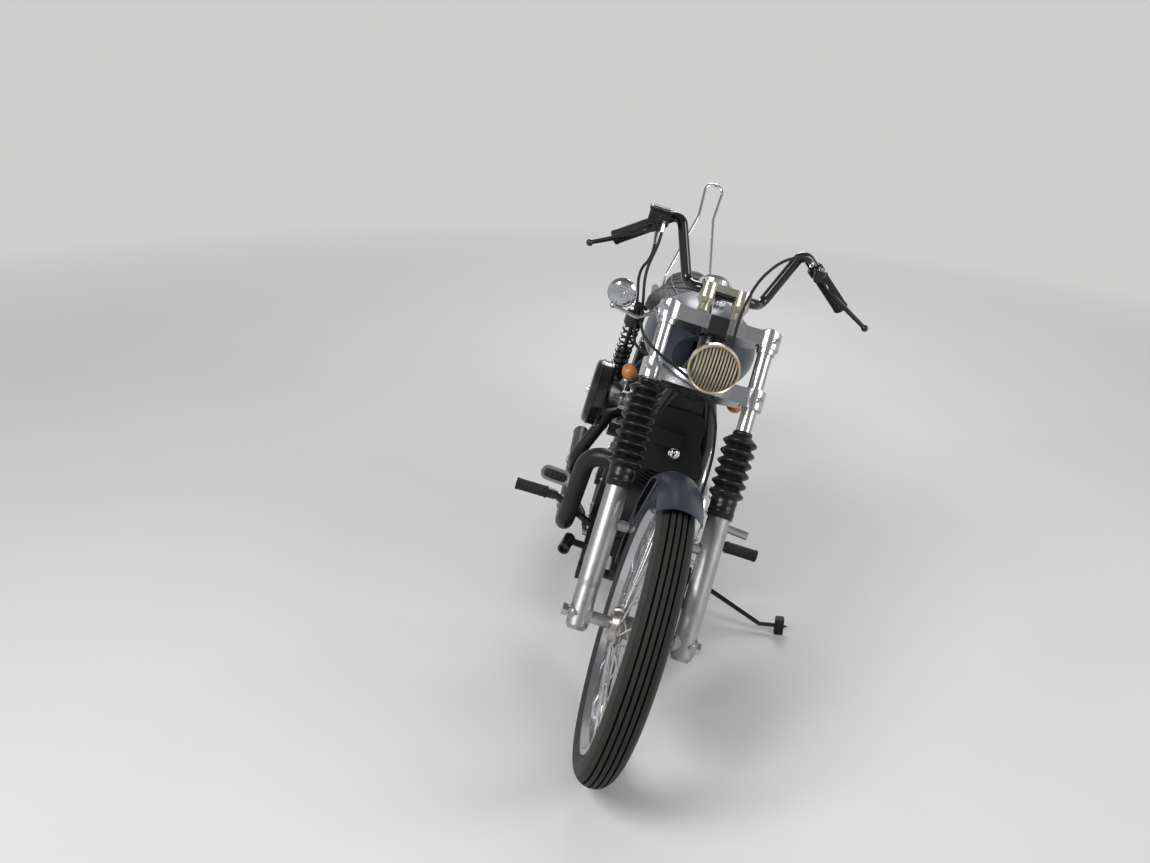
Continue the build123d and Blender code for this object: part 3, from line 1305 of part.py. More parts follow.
@cache
def side_stand():
    """The side stand's leg from its pivot eye to the bend, and the bright pin through its foot."""
    pivot, bend, tip = Vector(STAND_PIVOT), Vector(STAND_BEND), Vector(STAND_TIP)
    body = rod(pivot, bend, STAND_D + 4, STAND_D) + Pos(*bend) * Sphere(STAND_D / 2)
    body += rod(bend, stand_pad_centre(), STAND_D) + rod(stand_pad_centre(), tip, STAND_PIN_D)
    body += STAND_PLANE * Cylinder(STAND_EYE_R, STAND_EYE_H)
    body -= STAND_PLANE * Cylinder(4.8, STAND_EYE_H)
    return body


def stand_bumper():
    """The rubber block on the stand's end, flat on the ground."""
    block = Plane(origin=stand_pad_centre(), x_dir=(COS_LEAN, 0, SIN_LEAN), z_dir=GROUND_UP) * Box(*STAND_PAD)
    block = fillet(block.edges().filter_by(lambda edge: abs((edge % 0).dot(GROUND_UP)) > 0.99), 4)
    return block - side_stand()


NODES = {
    "front_tyre": front_tyre,
    "front_rim": front_rim,
    "front_hub": front_hub,
    "front_disc": front_disc,
    "rear_tyre": rear_tyre,
    "rear_rim": rear_rim,
    "rear_hub": rear_hub,
    "rear_disc": rear_disc,
    "rear_sprocket": rear_sprocket,
    "fork_tubes": fork_tubes,
    "fork_sliders": fork_sliders,
    "fork_gaiters": fork_gaiters,
    "front_axle": front_axle,
    "front_caliper": front_caliper,
    "front_fender": front_fender,
    "lower_clamp": lower_clamp,
    "upper_clamp": upper_clamp,
    "risers": risers,
    "handlebar": handlebar,
    "grips": grips,
    "hand_levers": hand_levers,
    "master_cylinder": master_cylinder,
    "gauge": gauge,
    "headlight": headlight,
    "headlight_grille": headlight_grille,
    "lamp_switch_box": lamp_switch_box,
    "mirror": mirror_arm,
    "clutch_cable": clutch_cable,
    "throttle_cable": throttle_cable,
    "brake_hose": brake_hose,
    "frame_backbone": frame_backbone,
    "frame_cradle": frame_cradle,
    "frame_rails": frame_rails,
    "swingarm": swingarm,
    "rear_axle": rear_axle,
    "shocks": shocks,
    "engine_cases": engine_cases,
    "cylinders": cylinders,
    "cylinder_heads": cylinder_heads,
    "pushrod_tubes": pushrod_tubes,
    "primary_case": primary_case,
    "intake": intake,
    "air_cleaner": air_cleaner,
    "exhaust_front": exhaust_front,
    "exhaust_rear": exhaust_rear,
    "fuel_tank": fuel_tank,
    "fuel_cap": fuel_cap,
    "seat": seat,
    "rear_fender": rear_fender,
    "sissy_bar": sissy_bar,
    "tail_lamp": tail_lamp,
    "oil_tank": oil_tank,
    "front_unit": front_unit,
    "turn_signals": turn_signals,
    "forward_controls": forward_controls,
    "foot_levers": foot_levers,
    "drive_chain": drive_chain,
    "side_stand": side_stand,
    "stand_bumper": stand_bumper,
}


def as_compound(shape):
    """One compound of a piece's solids."""
    if isinstance(shape, (list, tuple)):
        solids = [solid for part in shape for solid in part.solids()]
    else:
        solids = shape.solids()
    return Compound(children=list(solids))


def build_all():
    """Every piece, leaned onto the stand and moved to the row's origin."""
    lean = Rot(0, LEAN_DEG, 0)
    shapes = {name: lean * as_compound(make()) for name, make in NODES.items()}
    boxes = [shape.bounding_box() for shape in shapes.values()]
    low = [min(getattr(box.min, axis) for box in boxes) for axis in "XYZ"]
    high = [max(getattr(box.max, axis) for box in boxes) for axis in "XYZ"]
    shift = Vector(-(low[0] + high[0]) / 2, -(low[1] + high[1]) / 2, -low[2])
    return {name: Pos(*shift) * shape for name, shape in shapes.items()}, shift


if __name__ == "__main__":
    os.makedirs("parts", exist_ok=True)
    pieces, shift = build_all()
    for name, shape in pieces.items():
        export_step(shape, f"parts/{name}.step")
    print("shift", shift)
    for name, route in CORD_ROUTES.items():
        print(name, "bend radii", [round(radius, 1) for radius in gentle_radii(route)])
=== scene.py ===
"""A chopper motorcycle leaning on its side stand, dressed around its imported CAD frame.

The classes below follow the machine's own sub-assemblies. Lengths are millimetres in the upright
machine's frame (X to the rider's left, Y to the rear, Z up), and one matrix leans every point onto
the stand and turns it into metres in the frame's own row.
"""

import json
import logging
from dataclasses import dataclass, field
from enum import Enum
from math import asin, atan2, cos, exp, hypot, pi, radians, sin, sqrt, tau
from typing import Callable, Iterable, Sequence

import bmesh
import bpy
from mathutils import Matrix, Vector
from mathutils.bvhtree import BVHTree

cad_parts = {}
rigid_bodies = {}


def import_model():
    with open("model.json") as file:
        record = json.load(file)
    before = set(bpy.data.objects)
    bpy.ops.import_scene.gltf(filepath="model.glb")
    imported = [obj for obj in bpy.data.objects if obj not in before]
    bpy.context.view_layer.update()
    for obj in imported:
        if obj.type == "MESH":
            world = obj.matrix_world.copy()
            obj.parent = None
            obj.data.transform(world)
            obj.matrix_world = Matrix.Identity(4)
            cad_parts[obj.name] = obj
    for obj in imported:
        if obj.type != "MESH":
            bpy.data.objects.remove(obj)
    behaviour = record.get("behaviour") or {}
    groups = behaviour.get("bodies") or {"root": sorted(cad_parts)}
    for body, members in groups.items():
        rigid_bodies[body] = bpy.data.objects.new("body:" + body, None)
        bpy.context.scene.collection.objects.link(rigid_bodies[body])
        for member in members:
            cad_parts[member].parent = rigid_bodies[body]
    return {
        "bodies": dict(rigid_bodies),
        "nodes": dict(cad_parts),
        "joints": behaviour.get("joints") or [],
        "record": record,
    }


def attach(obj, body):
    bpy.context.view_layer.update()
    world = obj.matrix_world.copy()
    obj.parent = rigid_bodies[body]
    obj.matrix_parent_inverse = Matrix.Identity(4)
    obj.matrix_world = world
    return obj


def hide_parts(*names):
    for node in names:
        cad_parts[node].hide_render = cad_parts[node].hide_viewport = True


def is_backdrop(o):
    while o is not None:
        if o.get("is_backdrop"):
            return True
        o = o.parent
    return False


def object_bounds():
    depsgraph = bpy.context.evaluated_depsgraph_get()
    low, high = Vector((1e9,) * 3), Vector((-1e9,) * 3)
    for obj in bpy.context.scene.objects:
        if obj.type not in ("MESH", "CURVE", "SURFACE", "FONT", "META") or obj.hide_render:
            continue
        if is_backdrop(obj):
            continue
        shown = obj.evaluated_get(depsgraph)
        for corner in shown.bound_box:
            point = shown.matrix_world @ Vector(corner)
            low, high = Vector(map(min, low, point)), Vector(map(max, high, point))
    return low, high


LOG = logging.getLogger("chopper")
Point = Sequence[float]
Place = tuple[float, float, float]
Colour = tuple[float, float, float]
Profile = Sequence[tuple[float, float]]
Node = bpy.types.Node
Socket = bpy.types.NodeSocket
Tree = bpy.types.ShaderNodeTree
Piece = bpy.types.Object
BACKDROP: Colour = (0.62, 0.62, 0.615)


class Body(str, Enum):
    """The rigid bodies of the frame."""

    FRAME = "frame"
    STEERING = "steering"
    FRONT_WHEEL = "front_wheel"
    REAR_WHEEL = "rear_wheel"
    SIDE_STAND = "side_stand"


# Node tools


class Graph:
    """Adds shader nodes to one tree and links them."""

    def __init__(self, tree: Tree) -> None:
        """Keeps the tree that the nodes go into."""
        self.tree = tree

    def node(self, kind: str, **values: object) -> Node:
        """Adds a node.

        Args:
            kind: The node's Blender type name.
            values: Attributes to set on it.

        Returns:
            The new node.
        """
        made = self.tree.nodes.new(kind)
        for name, value in values.items():
            setattr(made, name, value)
        return made

    def put(self, socket: Socket, value: object) -> None:
        """Links a socket to another one, or sets its plain value.

        Args:
            socket: The input to fill.
            value: An output socket, a number or a colour.
        """
        if isinstance(value, Socket):
            self.tree.links.new(value, socket)
        elif isinstance(value, (tuple, list)) and len(value) == 3 and socket.type == "RGBA":
            socket.default_value = (*value, 1.0)
        else:
            socket.default_value = value

    def math(self, operation: str, *values: object, clamp: bool = False) -> Socket:
        """Adds a Math node.

        Args:
            operation: The node's operation.
            values: Its inputs, sockets or numbers.
            clamp: Whether the result is held between 0 and 1.

        Returns:
            The result's socket.
        """
        made = self.node("ShaderNodeMath", operation=operation, use_clamp=clamp)
        for socket, value in zip(made.inputs, values):
            self.put(socket, value)
        return made.outputs[0]

    def mix(self, share: object, first: object, second: object) -> Socket:
        """Adds a colour mix.

        Args:
            share: How much of the second colour shows.
            first: The first colour or socket.
            second: The second colour or socket.

        Returns:
            The mixed colour's socket.
        """
        made = self.node("ShaderNodeMix", data_type="RGBA")
        self.put(made.inputs[0], share)
        self.put(made.inputs[6], first)
        self.put(made.inputs[7], second)
        return made.outputs[2]

    def seen_rays(self) -> Socket:
        """Tells rays of the eye, off bright metal and through glass from those that only light.

        Returns:
            One for a ray that shows what it meets, zero for the others.
        """
        ray = self.node("ShaderNodeLightPath")
        seen = self.math("MAXIMUM", ray.outputs["Is Camera Ray"], ray.outputs["Is Glossy Ray"])
        return self.math("MAXIMUM", seen, ray.outputs["Is Transmission Ray"])

    def ramp(self, value: object, low: float, high: float) -> Socket:
        """Stretches a value so that low becomes 0 and high becomes 1.

        Args:
            value: The socket or number to stretch.
            low: What becomes 0.
            high: What becomes 1.

        Returns:
            The stretched value's socket, held between 0 and 1.
        """
        made = self.node("ShaderNodeMapRange", clamp=True)
        self.put(made.inputs[0], value)
        made.inputs[1].default_value = low
        made.inputs[2].default_value = high
        return made.outputs[0]

    def noise(self, scale: object, detail: float = 3.0, stretch: Point = (1, 1, 1)) -> Socket:
        """Adds a noise over the piece's own coordinates.

        Args:
            scale: The noise's scale, per metre.
            detail: Its octaves.
            stretch: How the coordinates are scaled along each axis first.

        Returns:
            The noise's value socket.
        """
        place = self.node("ShaderNodeTexCoord").outputs["Object"]
        mapping = self.node("ShaderNodeMapping")
        mapping.inputs["Scale"].default_value = tuple(stretch)
        self.put(mapping.inputs["Vector"], place)
        made = self.node("ShaderNodeTexNoise")
        self.put(made.inputs["Vector"], mapping.outputs[0])
        self.put(made.inputs["Scale"], scale)
        made.inputs["Detail"].default_value = detail
        return made.outputs[0]


class Effect(str, Enum):
    """The shared shader effects."""

    GRAIN = "surface grain"
    WEAR = "edge wear"
    DUST = "settled dust"
    BRUSHING = "brushed lines"


class EffectLibrary:
    """The node groups that several finishes place with their own values."""

    def __init__(self) -> None:
        """Starts with no group built."""
        self.groups: dict[Effect, Tree] = {}

    def get(self, effect: Effect) -> Tree:
        """Builds an effect's group the first time it is asked for.

        Args:
            effect: The effect wanted.

        Returns:
            Its node group.
        """
        if effect not in self.groups:
            makers = {
                Effect.GRAIN: self._grain,
                Effect.WEAR: self._wear,
                Effect.DUST: self._dust,
                Effect.BRUSHING: self._brushing,
            }
            makers[effect]()
        return self.groups[effect]

    def _new(self, effect: Effect, inputs: dict[str, float],
             outputs: Sequence[str]) -> tuple[Graph, Node, Node]:
        """Makes and keeps an empty group with its sockets.

        Args:
            effect: The effect it is for.
            inputs: Each input's name and default value.
            outputs: Each output's name.

        Returns:
            Its graph, its input node and its output node.
        """
        tree = self.groups[effect] = bpy.data.node_groups.new(effect.value, "ShaderNodeTree")
        for name, value in inputs.items():
            made = tree.interface.new_socket(name=name, in_out="INPUT", socket_type="NodeSocketFloat")
            made.default_value = value
        for name in outputs:
            tree.interface.new_socket(name=name, in_out="OUTPUT", socket_type="NodeSocketFloat")
        graph = Graph(tree)
        return graph, graph.node("NodeGroupInput"), graph.node("NodeGroupOutput")

    def _grain(self) -> None:
        """Roughness that varies and a fine height, both from noise."""
        graph, given, out = self._new(
            Effect.GRAIN, {"Scale": 800.0, "Roughness": 0.5, "Spread": 0.1}, ("Roughness", "Height"))
        broad = graph.noise(14.0, 4.0)
        fine = graph.noise(given.outputs["Scale"], 2.0)
        swing = graph.math("MULTIPLY", graph.math("SUBTRACT", broad, 0.5), given.outputs["Spread"])
        small = graph.math("MULTIPLY", graph.math("SUBTRACT", fine, 0.5), given.outputs["Spread"])
        total = graph.math("ADD", graph.math("MULTIPLY", swing, 2.4), small)
        graph.put(out.inputs["Roughness"], graph.math("ADD", given.outputs["Roughness"], total, clamp=True))
        graph.put(out.inputs["Height"], fine)

    def _wear(self) -> None:
        """A mask along edges, broken up by noise."""
        graph, given, out = self._new(
            Effect.WEAR, {"Radius": 0.002, "Amount": 0.5}, ("Mask",))
        soft = graph.node("ShaderNodeBevel", samples=4)
        graph.put(soft.inputs["Radius"], given.outputs["Radius"])
        plain = graph.node("ShaderNodeNewGeometry").outputs["Normal"]
        dot = graph.node("ShaderNodeVectorMath", operation="DOT_PRODUCT")
        graph.put(dot.inputs[0], soft.outputs[0])
        graph.put(dot.inputs[1], plain)
        turned = graph.math("SUBTRACT", 1.0, dot.outputs["Value"])
        broken = graph.ramp(graph.noise(90.0, 5.0), 0.38, 0.66)
        mask = graph.math("MULTIPLY", graph.ramp(turned, 0.02, 0.16), broken)
        graph.put(out.inputs["Mask"], graph.math("MULTIPLY", mask, given.outputs["Amount"], clamp=True))

    def _dust(self) -> None:
        """A mask of dust on surfaces that face up, patchy and thicker near the ground."""
        graph, given, out = self._new(Effect.DUST, {"Amount": 0.3, "Scale": 22.0}, ("Mask",))
        facing = graph.node("ShaderNodeSeparateXYZ")
        graph.put(facing.inputs[0], graph.node("ShaderNodeNewGeometry").outputs["Normal"])
        up = graph.math("ADD", graph.ramp(facing.outputs[2], -0.2, 1.0), 0.25)
        place = graph.node("ShaderNodeSeparateXYZ")
        graph.put(place.inputs[0], graph.node("ShaderNodeTexCoord").outputs["Object"])
        low = graph.math("ADD", graph.ramp(place.outputs[2], 0.9, 0.0), 0.35)
        patches = graph.ramp(graph.noise(given.outputs["Scale"], 6.0), 0.35, 0.75)
        mask = graph.math("MULTIPLY", graph.math("MULTIPLY", up, low), patches)
        graph.put(out.inputs["Mask"], graph.math("MULTIPLY", mask, given.outputs["Amount"], clamp=True))

    def _brushing(self) -> None:
        """Fine lines along the machine's length, as a height."""
        graph, given, out = self._new(Effect.BRUSHING, {"Scale": 260.0, "Strength": 1.0}, ("Height",))
        lines = graph.noise(given.outputs["Scale"], 2.0, (1.0, 0.03, 1.0))
        graph.put(out.inputs["Height"], graph.math("MULTIPLY", lines, given.outputs["Strength"]))


EFFECTS = EffectLibrary()


@dataclass(frozen=True)
class Finish:
    """One surface finish, made of a Principled shader and the shared effects."""

    name: str
    colour: Colour
    second: Colour | None = None
    mottle: float = 30.0
    metallic: float = 0.0
    roughness: float = 0.5
    spread: float = 0.08
    grain: float = 900.0
    bump: float = 0.0
    brushing: float = 0.0
    coat: float = 0.0
    coat_roughness: float = 0.06
    wear: float = 0.0
    wear_colour: Colour = (0.42, 0.42, 0.42)
    dust: float = 0.0
    dust_colour: Colour = (0.26, 0.24, 0.21)
    specular: float = 0.5
    edge_round: float = 0.0

    def place(self, graph: Graph, effect: Effect, **values: float) -> Node:
        """Places a shared effect in the material.

        Args:
            graph: The material's graph.
            effect: The effect.
            values: Its inputs' values.

        Returns:
            The group node.
        """
        made = graph.node("ShaderNodeGroup")
        made.node_tree = EFFECTS.get(effect)
        for name, value in values.items():
            made.inputs[name].default_value = value
        return made

    def base_colour(self, graph: Graph) -> object:
        """The colour before wear and dust.

        Args:
            graph: The material's graph.

        Returns:
            A colour or a socket.
        """
        if self.second is None:
            return self.colour
        share = graph.ramp(graph.noise(self.mottle, 5.0), 0.3, 0.7)
        return graph.mix(share, self.colour, self.second)

    def relief(self, graph: Graph, grain: Node) -> Socket | None:
        """The normal that carries the grain and brushing.

        Args:
            graph: The material's graph.
            grain: The placed grain effect.

        Returns:
            The normal's socket, or None for a smooth surface.
        """
        edge = None
        if self.edge_round:
            edge = graph.node("ShaderNodeBevel", samples=4)
            edge.inputs["Radius"].default_value = self.edge_round
        if not self.bump and not self.brushing:
            return edge.outputs[0] if edge else None
        height = graph.math("MULTIPLY", grain.outputs["Height"], self.bump)
        if self.brushing:
            lines = self.place(graph, Effect.BRUSHING, Strength=self.brushing)
            height = graph.math("ADD", height, lines.outputs["Height"])
        made = graph.node("ShaderNodeBump")
        made.inputs["Strength"].default_value = 1.0
        made.inputs["Distance"].default_value = 0.001
        graph.put(made.inputs["Height"], height)
        if edge:
            graph.put(made.inputs["Normal"], edge.outputs[0])
        return made.outputs[0]

    def material(self) -> bpy.types.Material:
        """Builds the material, or finds it if it was built before.

        Returns:
            The material.
        """
        found = bpy.data.materials.get(self.name)
        if found:
            return found
        made = bpy.data.materials.new(self.name)
        made.use_nodes = True
        made.node_tree.nodes.clear()
        graph = Graph(made.node_tree)
        shader = graph.node("ShaderNodeBsdfPrincipled")
        output = graph.node("ShaderNodeOutputMaterial")
        graph.put(output.inputs[0], shader.outputs[0])
        grain = self.place(
            graph, Effect.GRAIN, Scale=self.grain, Roughness=self.roughness, Spread=self.spread)
        colour = self.base_colour(graph)
        roughness = grain.outputs["Roughness"]
        metallic = self.metallic
        if self.wear:
            worn = self.place(graph, Effect.WEAR, Amount=self.wear).outputs["Mask"]
            colour = graph.mix(worn, colour, self.wear_colour)
        if self.dust:
            dusty = self.place(graph, Effect.DUST, Amount=self.dust).outputs["Mask"]
            colour = graph.mix(dusty, colour, self.dust_colour)
            roughness = graph.math("ADD", roughness, graph.math("MULTIPLY", dusty, 0.6), clamp=True)
            if self.metallic:
                metallic = graph.math("SUBTRACT", self.metallic, dusty, clamp=True)
        graph.put(shader.inputs["Base Color"], colour)
        graph.put(shader.inputs["Roughness"], roughness)
        graph.put(shader.inputs["Metallic"], metallic)
        shader.inputs["Specular IOR Level"].default_value = self.specular
        shader.inputs["Coat Weight"].default_value = self.coat
        shader.inputs["Coat Roughness"].default_value = self.coat_roughness
        normal = self.relief(graph, grain)
        if normal is not None:
            graph.put(shader.inputs["Normal"], normal)
        self.extra(graph, shader)
        return made

    def extra(self, graph: Graph, shader: Node) -> None:
        """What a special finish adds to the plain one; nothing here."""


@dataclass(frozen=True)
class GlassFinish(Finish):
    """Clear glass, or a coloured lens that lets a share of the light into it."""

    clear: float = 0.35
    index: float = 1.49

    def extra(self, graph: Graph, shader: Node) -> None:
        """Lets the light in.

        Args:
            graph: The material's graph.
            shader: Its Principled shader.
        """
        shader.inputs["Transmission Weight"].default_value = self.clear
        shader.inputs["IOR"].default_value = self.index


@dataclass(frozen=True)
class HubFinish(Finish):
    """Dull cast metal inside a radius from the wheel's axis, bright spokes outside it."""

    centre: Place = (0.0, 0.0, 0.0)
    axis: Place = (1.0, 0.0, 0.0)
    edge: float = 0.055
    stain: Colour = (0.27, 0.25, 0.22)

    def base_colour(self, graph: Graph) -> object:
        """Mixes the hub's colour and the spokes' by the distance from the axis.

        Args:
            graph: The material's graph.

        Returns:
            The colour's socket.
        """
        place = graph.node("ShaderNodeTexCoord").outputs["Object"]
        offset = graph.node("ShaderNodeVectorMath", operation="SUBTRACT")
        graph.put(offset.inputs[0], place)
        offset.inputs[1].default_value = self.centre
        across = graph.node("ShaderNodeVectorMath", operation="CROSS_PRODUCT")
        graph.put(across.inputs[0], offset.outputs[0])
        across.inputs[1].default_value = self.axis
        reach = graph.node("ShaderNodeVectorMath", operation="LENGTH")
        graph.put(reach.inputs[0], across.outputs[0])
        share = graph.ramp(reach.outputs["Value"], self.edge, self.edge + 0.002)
        stained = graph.ramp(graph.noise(70.0, 6.0), 0.42, 0.70)
        spotted = graph.mix(stained, self.colour, self.stain)
        return graph.mix(share, spotted, self.second or self.colour)


@dataclass(frozen=True)
class FloorFinish(Finish):
    """The floor, which the camera sees fading into the pale backdrop."""

    near: float = 2.2
    far: float = 5.5

    def extra(self, graph: Graph, shader: Node) -> None:
        """Fades the floor into the backdrop's colour away from the machine.

        Args:
            graph: The material's graph.
            shader: Its Principled shader.
        """
        output = next(n for n in graph.tree.nodes if n.type == "OUTPUT_MATERIAL")
        reach = graph.node("ShaderNodeVectorMath", operation="LENGTH")
        graph.put(reach.inputs[0], graph.node("ShaderNodeTexCoord").outputs["Object"])
        share = graph.ramp(reach.outputs["Value"], self.near, self.far)
        seen = graph.seen_rays()
        glow = graph.node("ShaderNodeEmission")
        glow.inputs["Color"].default_value = (*BACKDROP, 1.0)
        glow.inputs["Strength"].default_value = 1.0
        blend = graph.node("ShaderNodeMixShader")
        graph.put(blend.inputs[0], graph.math("MULTIPLY", share, seen))
        graph.put(blend.inputs[1], shader.outputs[0])
        graph.put(blend.inputs[2], glow.outputs[0])
        graph.put(output.inputs[0], blend.outputs[0])


@dataclass(frozen=True)
class LeatherFinish(Finish):
    """Grained seat cover."""

    def relief(self, graph: Graph, grain: Node) -> Socket:
        """A pebbled grain from cells, with the fine noise over it.

        Args:
            graph: The material's graph.
            grain: The placed grain effect.

        Returns:
            The normal's socket.
        """
        cells = graph.node("ShaderNodeTexVoronoi", feature="DISTANCE_TO_EDGE")
        graph.put(cells.inputs["Vector"], graph.node("ShaderNodeTexCoord").outputs["Object"])
        cells.inputs["Scale"].default_value = 420.0
        pebble = graph.ramp(cells.outputs["Distance"], 0.0, 0.22)
        height = graph.math("ADD", pebble, graph.math("MULTIPLY", grain.outputs["Height"], 0.3))
        made = graph.node("ShaderNodeBump")
        made.inputs["Strength"].default_value = 0.55
        made.inputs["Distance"].default_value = 0.0006
        graph.put(made.inputs["Height"], height)
        return made.outputs[0]


class Finishes:
    """Every finish of the machine, named for what wears it."""

    TREAD = Finish(
        "tread ribs", (0.02, 0.0185, 0.0165), (0.013, 0.0125, 0.0115), 60.0, roughness=0.7, bump=0.35,
        grain=1500.0, dust=0.16, dust_colour=(0.075, 0.065, 0.05), specular=0.3)
    GROOVE = Finish("tread grooves", (0.004, 0.004, 0.004), roughness=0.9, specular=0.1)
    SIDEWALL = Finish(
        "tyre side wall", (0.02, 0.019, 0.018), (0.03, 0.028, 0.026), 26.0, roughness=0.6, bump=0.2,
        grain=1800.0, dust=0.2, dust_colour=(0.1, 0.09, 0.08), specular=0.35)
    CHROME = Finish("chrome", (0.72, 0.73, 0.74), metallic=1.0, roughness=0.12, spread=0.04, grain=300.0)
    RIM_CHROME = Finish(
        "rim chrome", (0.5, 0.51, 0.53), (0.43, 0.44, 0.46), 20.0, metallic=1.0, roughness=0.15, spread=0.04,
        dust=0.06)
    WORN_CHROME = Finish(
        "worn chrome", (0.5, 0.5, 0.505), (0.45, 0.445, 0.43), metallic=1.0, roughness=0.26, spread=0.06,
        grain=400.0, dust=0.05, edge_round=0.0008)
    DISC = Finish("ground disc", (0.46, 0.46, 0.46), metallic=1.0, roughness=0.32, spread=0.1, brushing=0.15)
    FORK_ALLOY = Finish(
        "fork alloy", (0.42, 0.42, 0.42), (0.35, 0.35, 0.345), 16.0, metallic=1.0, roughness=0.38, bump=0.1,
        grain=1200.0, dust=0.1, dust_colour=(0.16, 0.155, 0.145), edge_round=0.0015)
    POLISHED = Finish(
        "polished alloy", (0.62, 0.625, 0.64), (0.55, 0.555, 0.57), 14.0, metallic=1.0, roughness=0.24,
        brushing=0.05, edge_round=0.0012)
    PRIMARY = Finish(
        "polished primary case", (0.7, 0.71, 0.74), (0.62, 0.63, 0.66), 12.0, metallic=1.0, roughness=0.24,
        spread=0.1, brushing=0.05, edge_round=0.0015)
    GAITER = Finish(
        "gaiter rubber", (0.006, 0.0065, 0.006), (0.01, 0.011, 0.01), 60.0, roughness=0.3, bump=0.08,
        grain=1400.0, specular=0.32)
    RUBBER = Finish(
        "black rubber", (0.012, 0.012, 0.012), roughness=0.62, spread=0.12, bump=0.25, grain=1600.0,
        dust=0.06, specular=0.3)
    ENAMEL = Finish(
        "gloss black enamel", (0.01, 0.01, 0.011), roughness=0.14, spread=0.04, coat=0.3, wear=0.12,
        wear_colour=(0.1, 0.1, 0.1), edge_round=0.0008, specular=0.35)
    FRAME = Finish(
        "frame enamel", (0.011, 0.011, 0.012), roughness=0.24, coat=0.3, wear=0.12,
        wear_colour=(0.08, 0.08, 0.08), dust=0.06, edge_round=0.001, specular=0.35)
    EXHAUST = Finish(
        "exhaust black", (0.01, 0.01, 0.011), (0.018, 0.016, 0.014), 20.0, roughness=0.36, spread=0.12,
        bump=0.08, dust=0.04, specular=0.3)
    ENGINE = Finish(
        "engine black", (0.011, 0.011, 0.012), (0.017, 0.017, 0.017), 34.0, roughness=0.44, spread=0.14,
        bump=0.3, wear=0.3, wear_colour=(0.12, 0.12, 0.12), dust=0.1, edge_round=0.0012, specular=0.3)
    PAINT = Finish(
        "blue-grey paint", (0.062, 0.074, 0.096), (0.052, 0.063, 0.083), 7.0, metallic=0.6, roughness=0.36,
        spread=0.05, coat=0.15, coat_roughness=0.18, grain=2600.0, dust=0.02, specular=0.35)
    BRASS = Finish(
        "lamp brass", (0.58, 0.52, 0.39), (0.47, 0.41, 0.29), 60.0, metallic=0.6, roughness=0.32, spread=0.1)
    CREAM_BRASS = Finish(
        "risers' pale brass", (0.5, 0.475, 0.39), (0.41, 0.385, 0.31), metallic=0.85, roughness=0.26,
        spread=0.1, edge_round=0.0008)
    PLASTIC = Finish(
        "black plastic", (0.01, 0.01, 0.0105), roughness=0.46, bump=0.2, grain=1800.0, wear=0.12,
        wear_colour=(0.07, 0.07, 0.07), dust=0.03, edge_round=0.0015, specular=0.25)
    CHAIN = Finish(
        "oiled chain steel", (0.14, 0.125, 0.11), (0.07, 0.062, 0.055), 80.0, metallic=0.8, roughness=0.42,
        spread=0.2)
    BOLT = Finish(
        "zinc bolt", (0.5, 0.5, 0.49), (0.42, 0.41, 0.39), 120.0, metallic=1.0, roughness=0.3, spread=0.12)
    DIAL = Finish("dial face", (0.6, 0.59, 0.55), roughness=0.4)
    INK = Finish("dial ink", (0.01, 0.01, 0.01))
    REFLECTOR = Finish(
        "dark lamp glass", (0.105, 0.075, 0.04), (0.065, 0.045, 0.024), 40.0, metallic=0.3, roughness=0.2,
        spread=0.06, coat=0.5)
    MIRROR = Finish("mirror glass", (0.86, 0.87, 0.88), metallic=1.0, roughness=0.02, spread=0.01)
    GLASS = GlassFinish(
        "clear glass", (0.96, 0.97, 0.97), roughness=0.03, spread=0.01, clear=1.0, index=1.3)
    AMBER = GlassFinish(
        "amber lens", (0.8, 0.3, 0.08), (0.7, 0.23, 0.05), 90.0, roughness=0.22, coat=0.3)
    RED = GlassFinish("red lens", (0.42, 0.012, 0.01), roughness=0.18, coat=0.3)
    LEATHER = LeatherFinish(
        "seat cover", (0.013, 0.0125, 0.012), (0.017, 0.016, 0.015), 14.0, roughness=0.52, spread=0.1,
        dust=0.03, specular=0.25)
    PIPING = Finish("seat piping", (0.01, 0.01, 0.01), roughness=0.34, bump=0.3, grain=2200.0)
    FLOOR = FloorFinish(
        "pale floor", (0.62, 0.62, 0.615), (0.595, 0.595, 0.59), 1.2, roughness=0.62, spread=0.05)


# Stance and shape building


@dataclass(frozen=True)
class Layout:
    """The machine's main sizes, in millimetres, as the frame has them."""

    lean_deg: float = 13.5
    rake_deg: float = 31.0
    wheelbase: float = 1620.0
    steer_offset: float = 55.0
    front_hub_z: float = 346.193
    rear_hub_z: float = 322.046
    fork_half: float = 120.0
    rim_drop: float = 22.0

    @property
    def front_hub(self) -> Vector:
        """The front hub's centre."""
        return Vector((0, 0, self.front_hub_z))

    @property
    def rear_hub(self) -> Vector:
        """The rear hub's centre."""
        return Vector((0, self.wheelbase, self.rear_hub_z))

    @property
    def fork_axis(self) -> Vector:
        """The direction up the fork."""
        rake = radians(self.rake_deg)
        return Vector((0, sin(rake), cos(rake)))

    @property
    def fork_back(self) -> Vector:
        """The direction behind the fork tubes, square to them."""
        rake = radians(self.rake_deg)
        return Vector((0, cos(rake), -sin(rake)))

    def fork(self, across: float, back: float, up: float) -> Vector:
        """A point of the fork's own frame.

        Args:
            across: Millimetres to the left.
            back: Millimetres behind the fork tubes, square to them.
            up: Millimetres up the fork from the axle.

        Returns:
            The point in the upright machine's frame.
        """
        return self.front_hub + Vector((across, 0, 0)) + self.fork_back * back + self.fork_axis * up


LAYOUT = Layout()


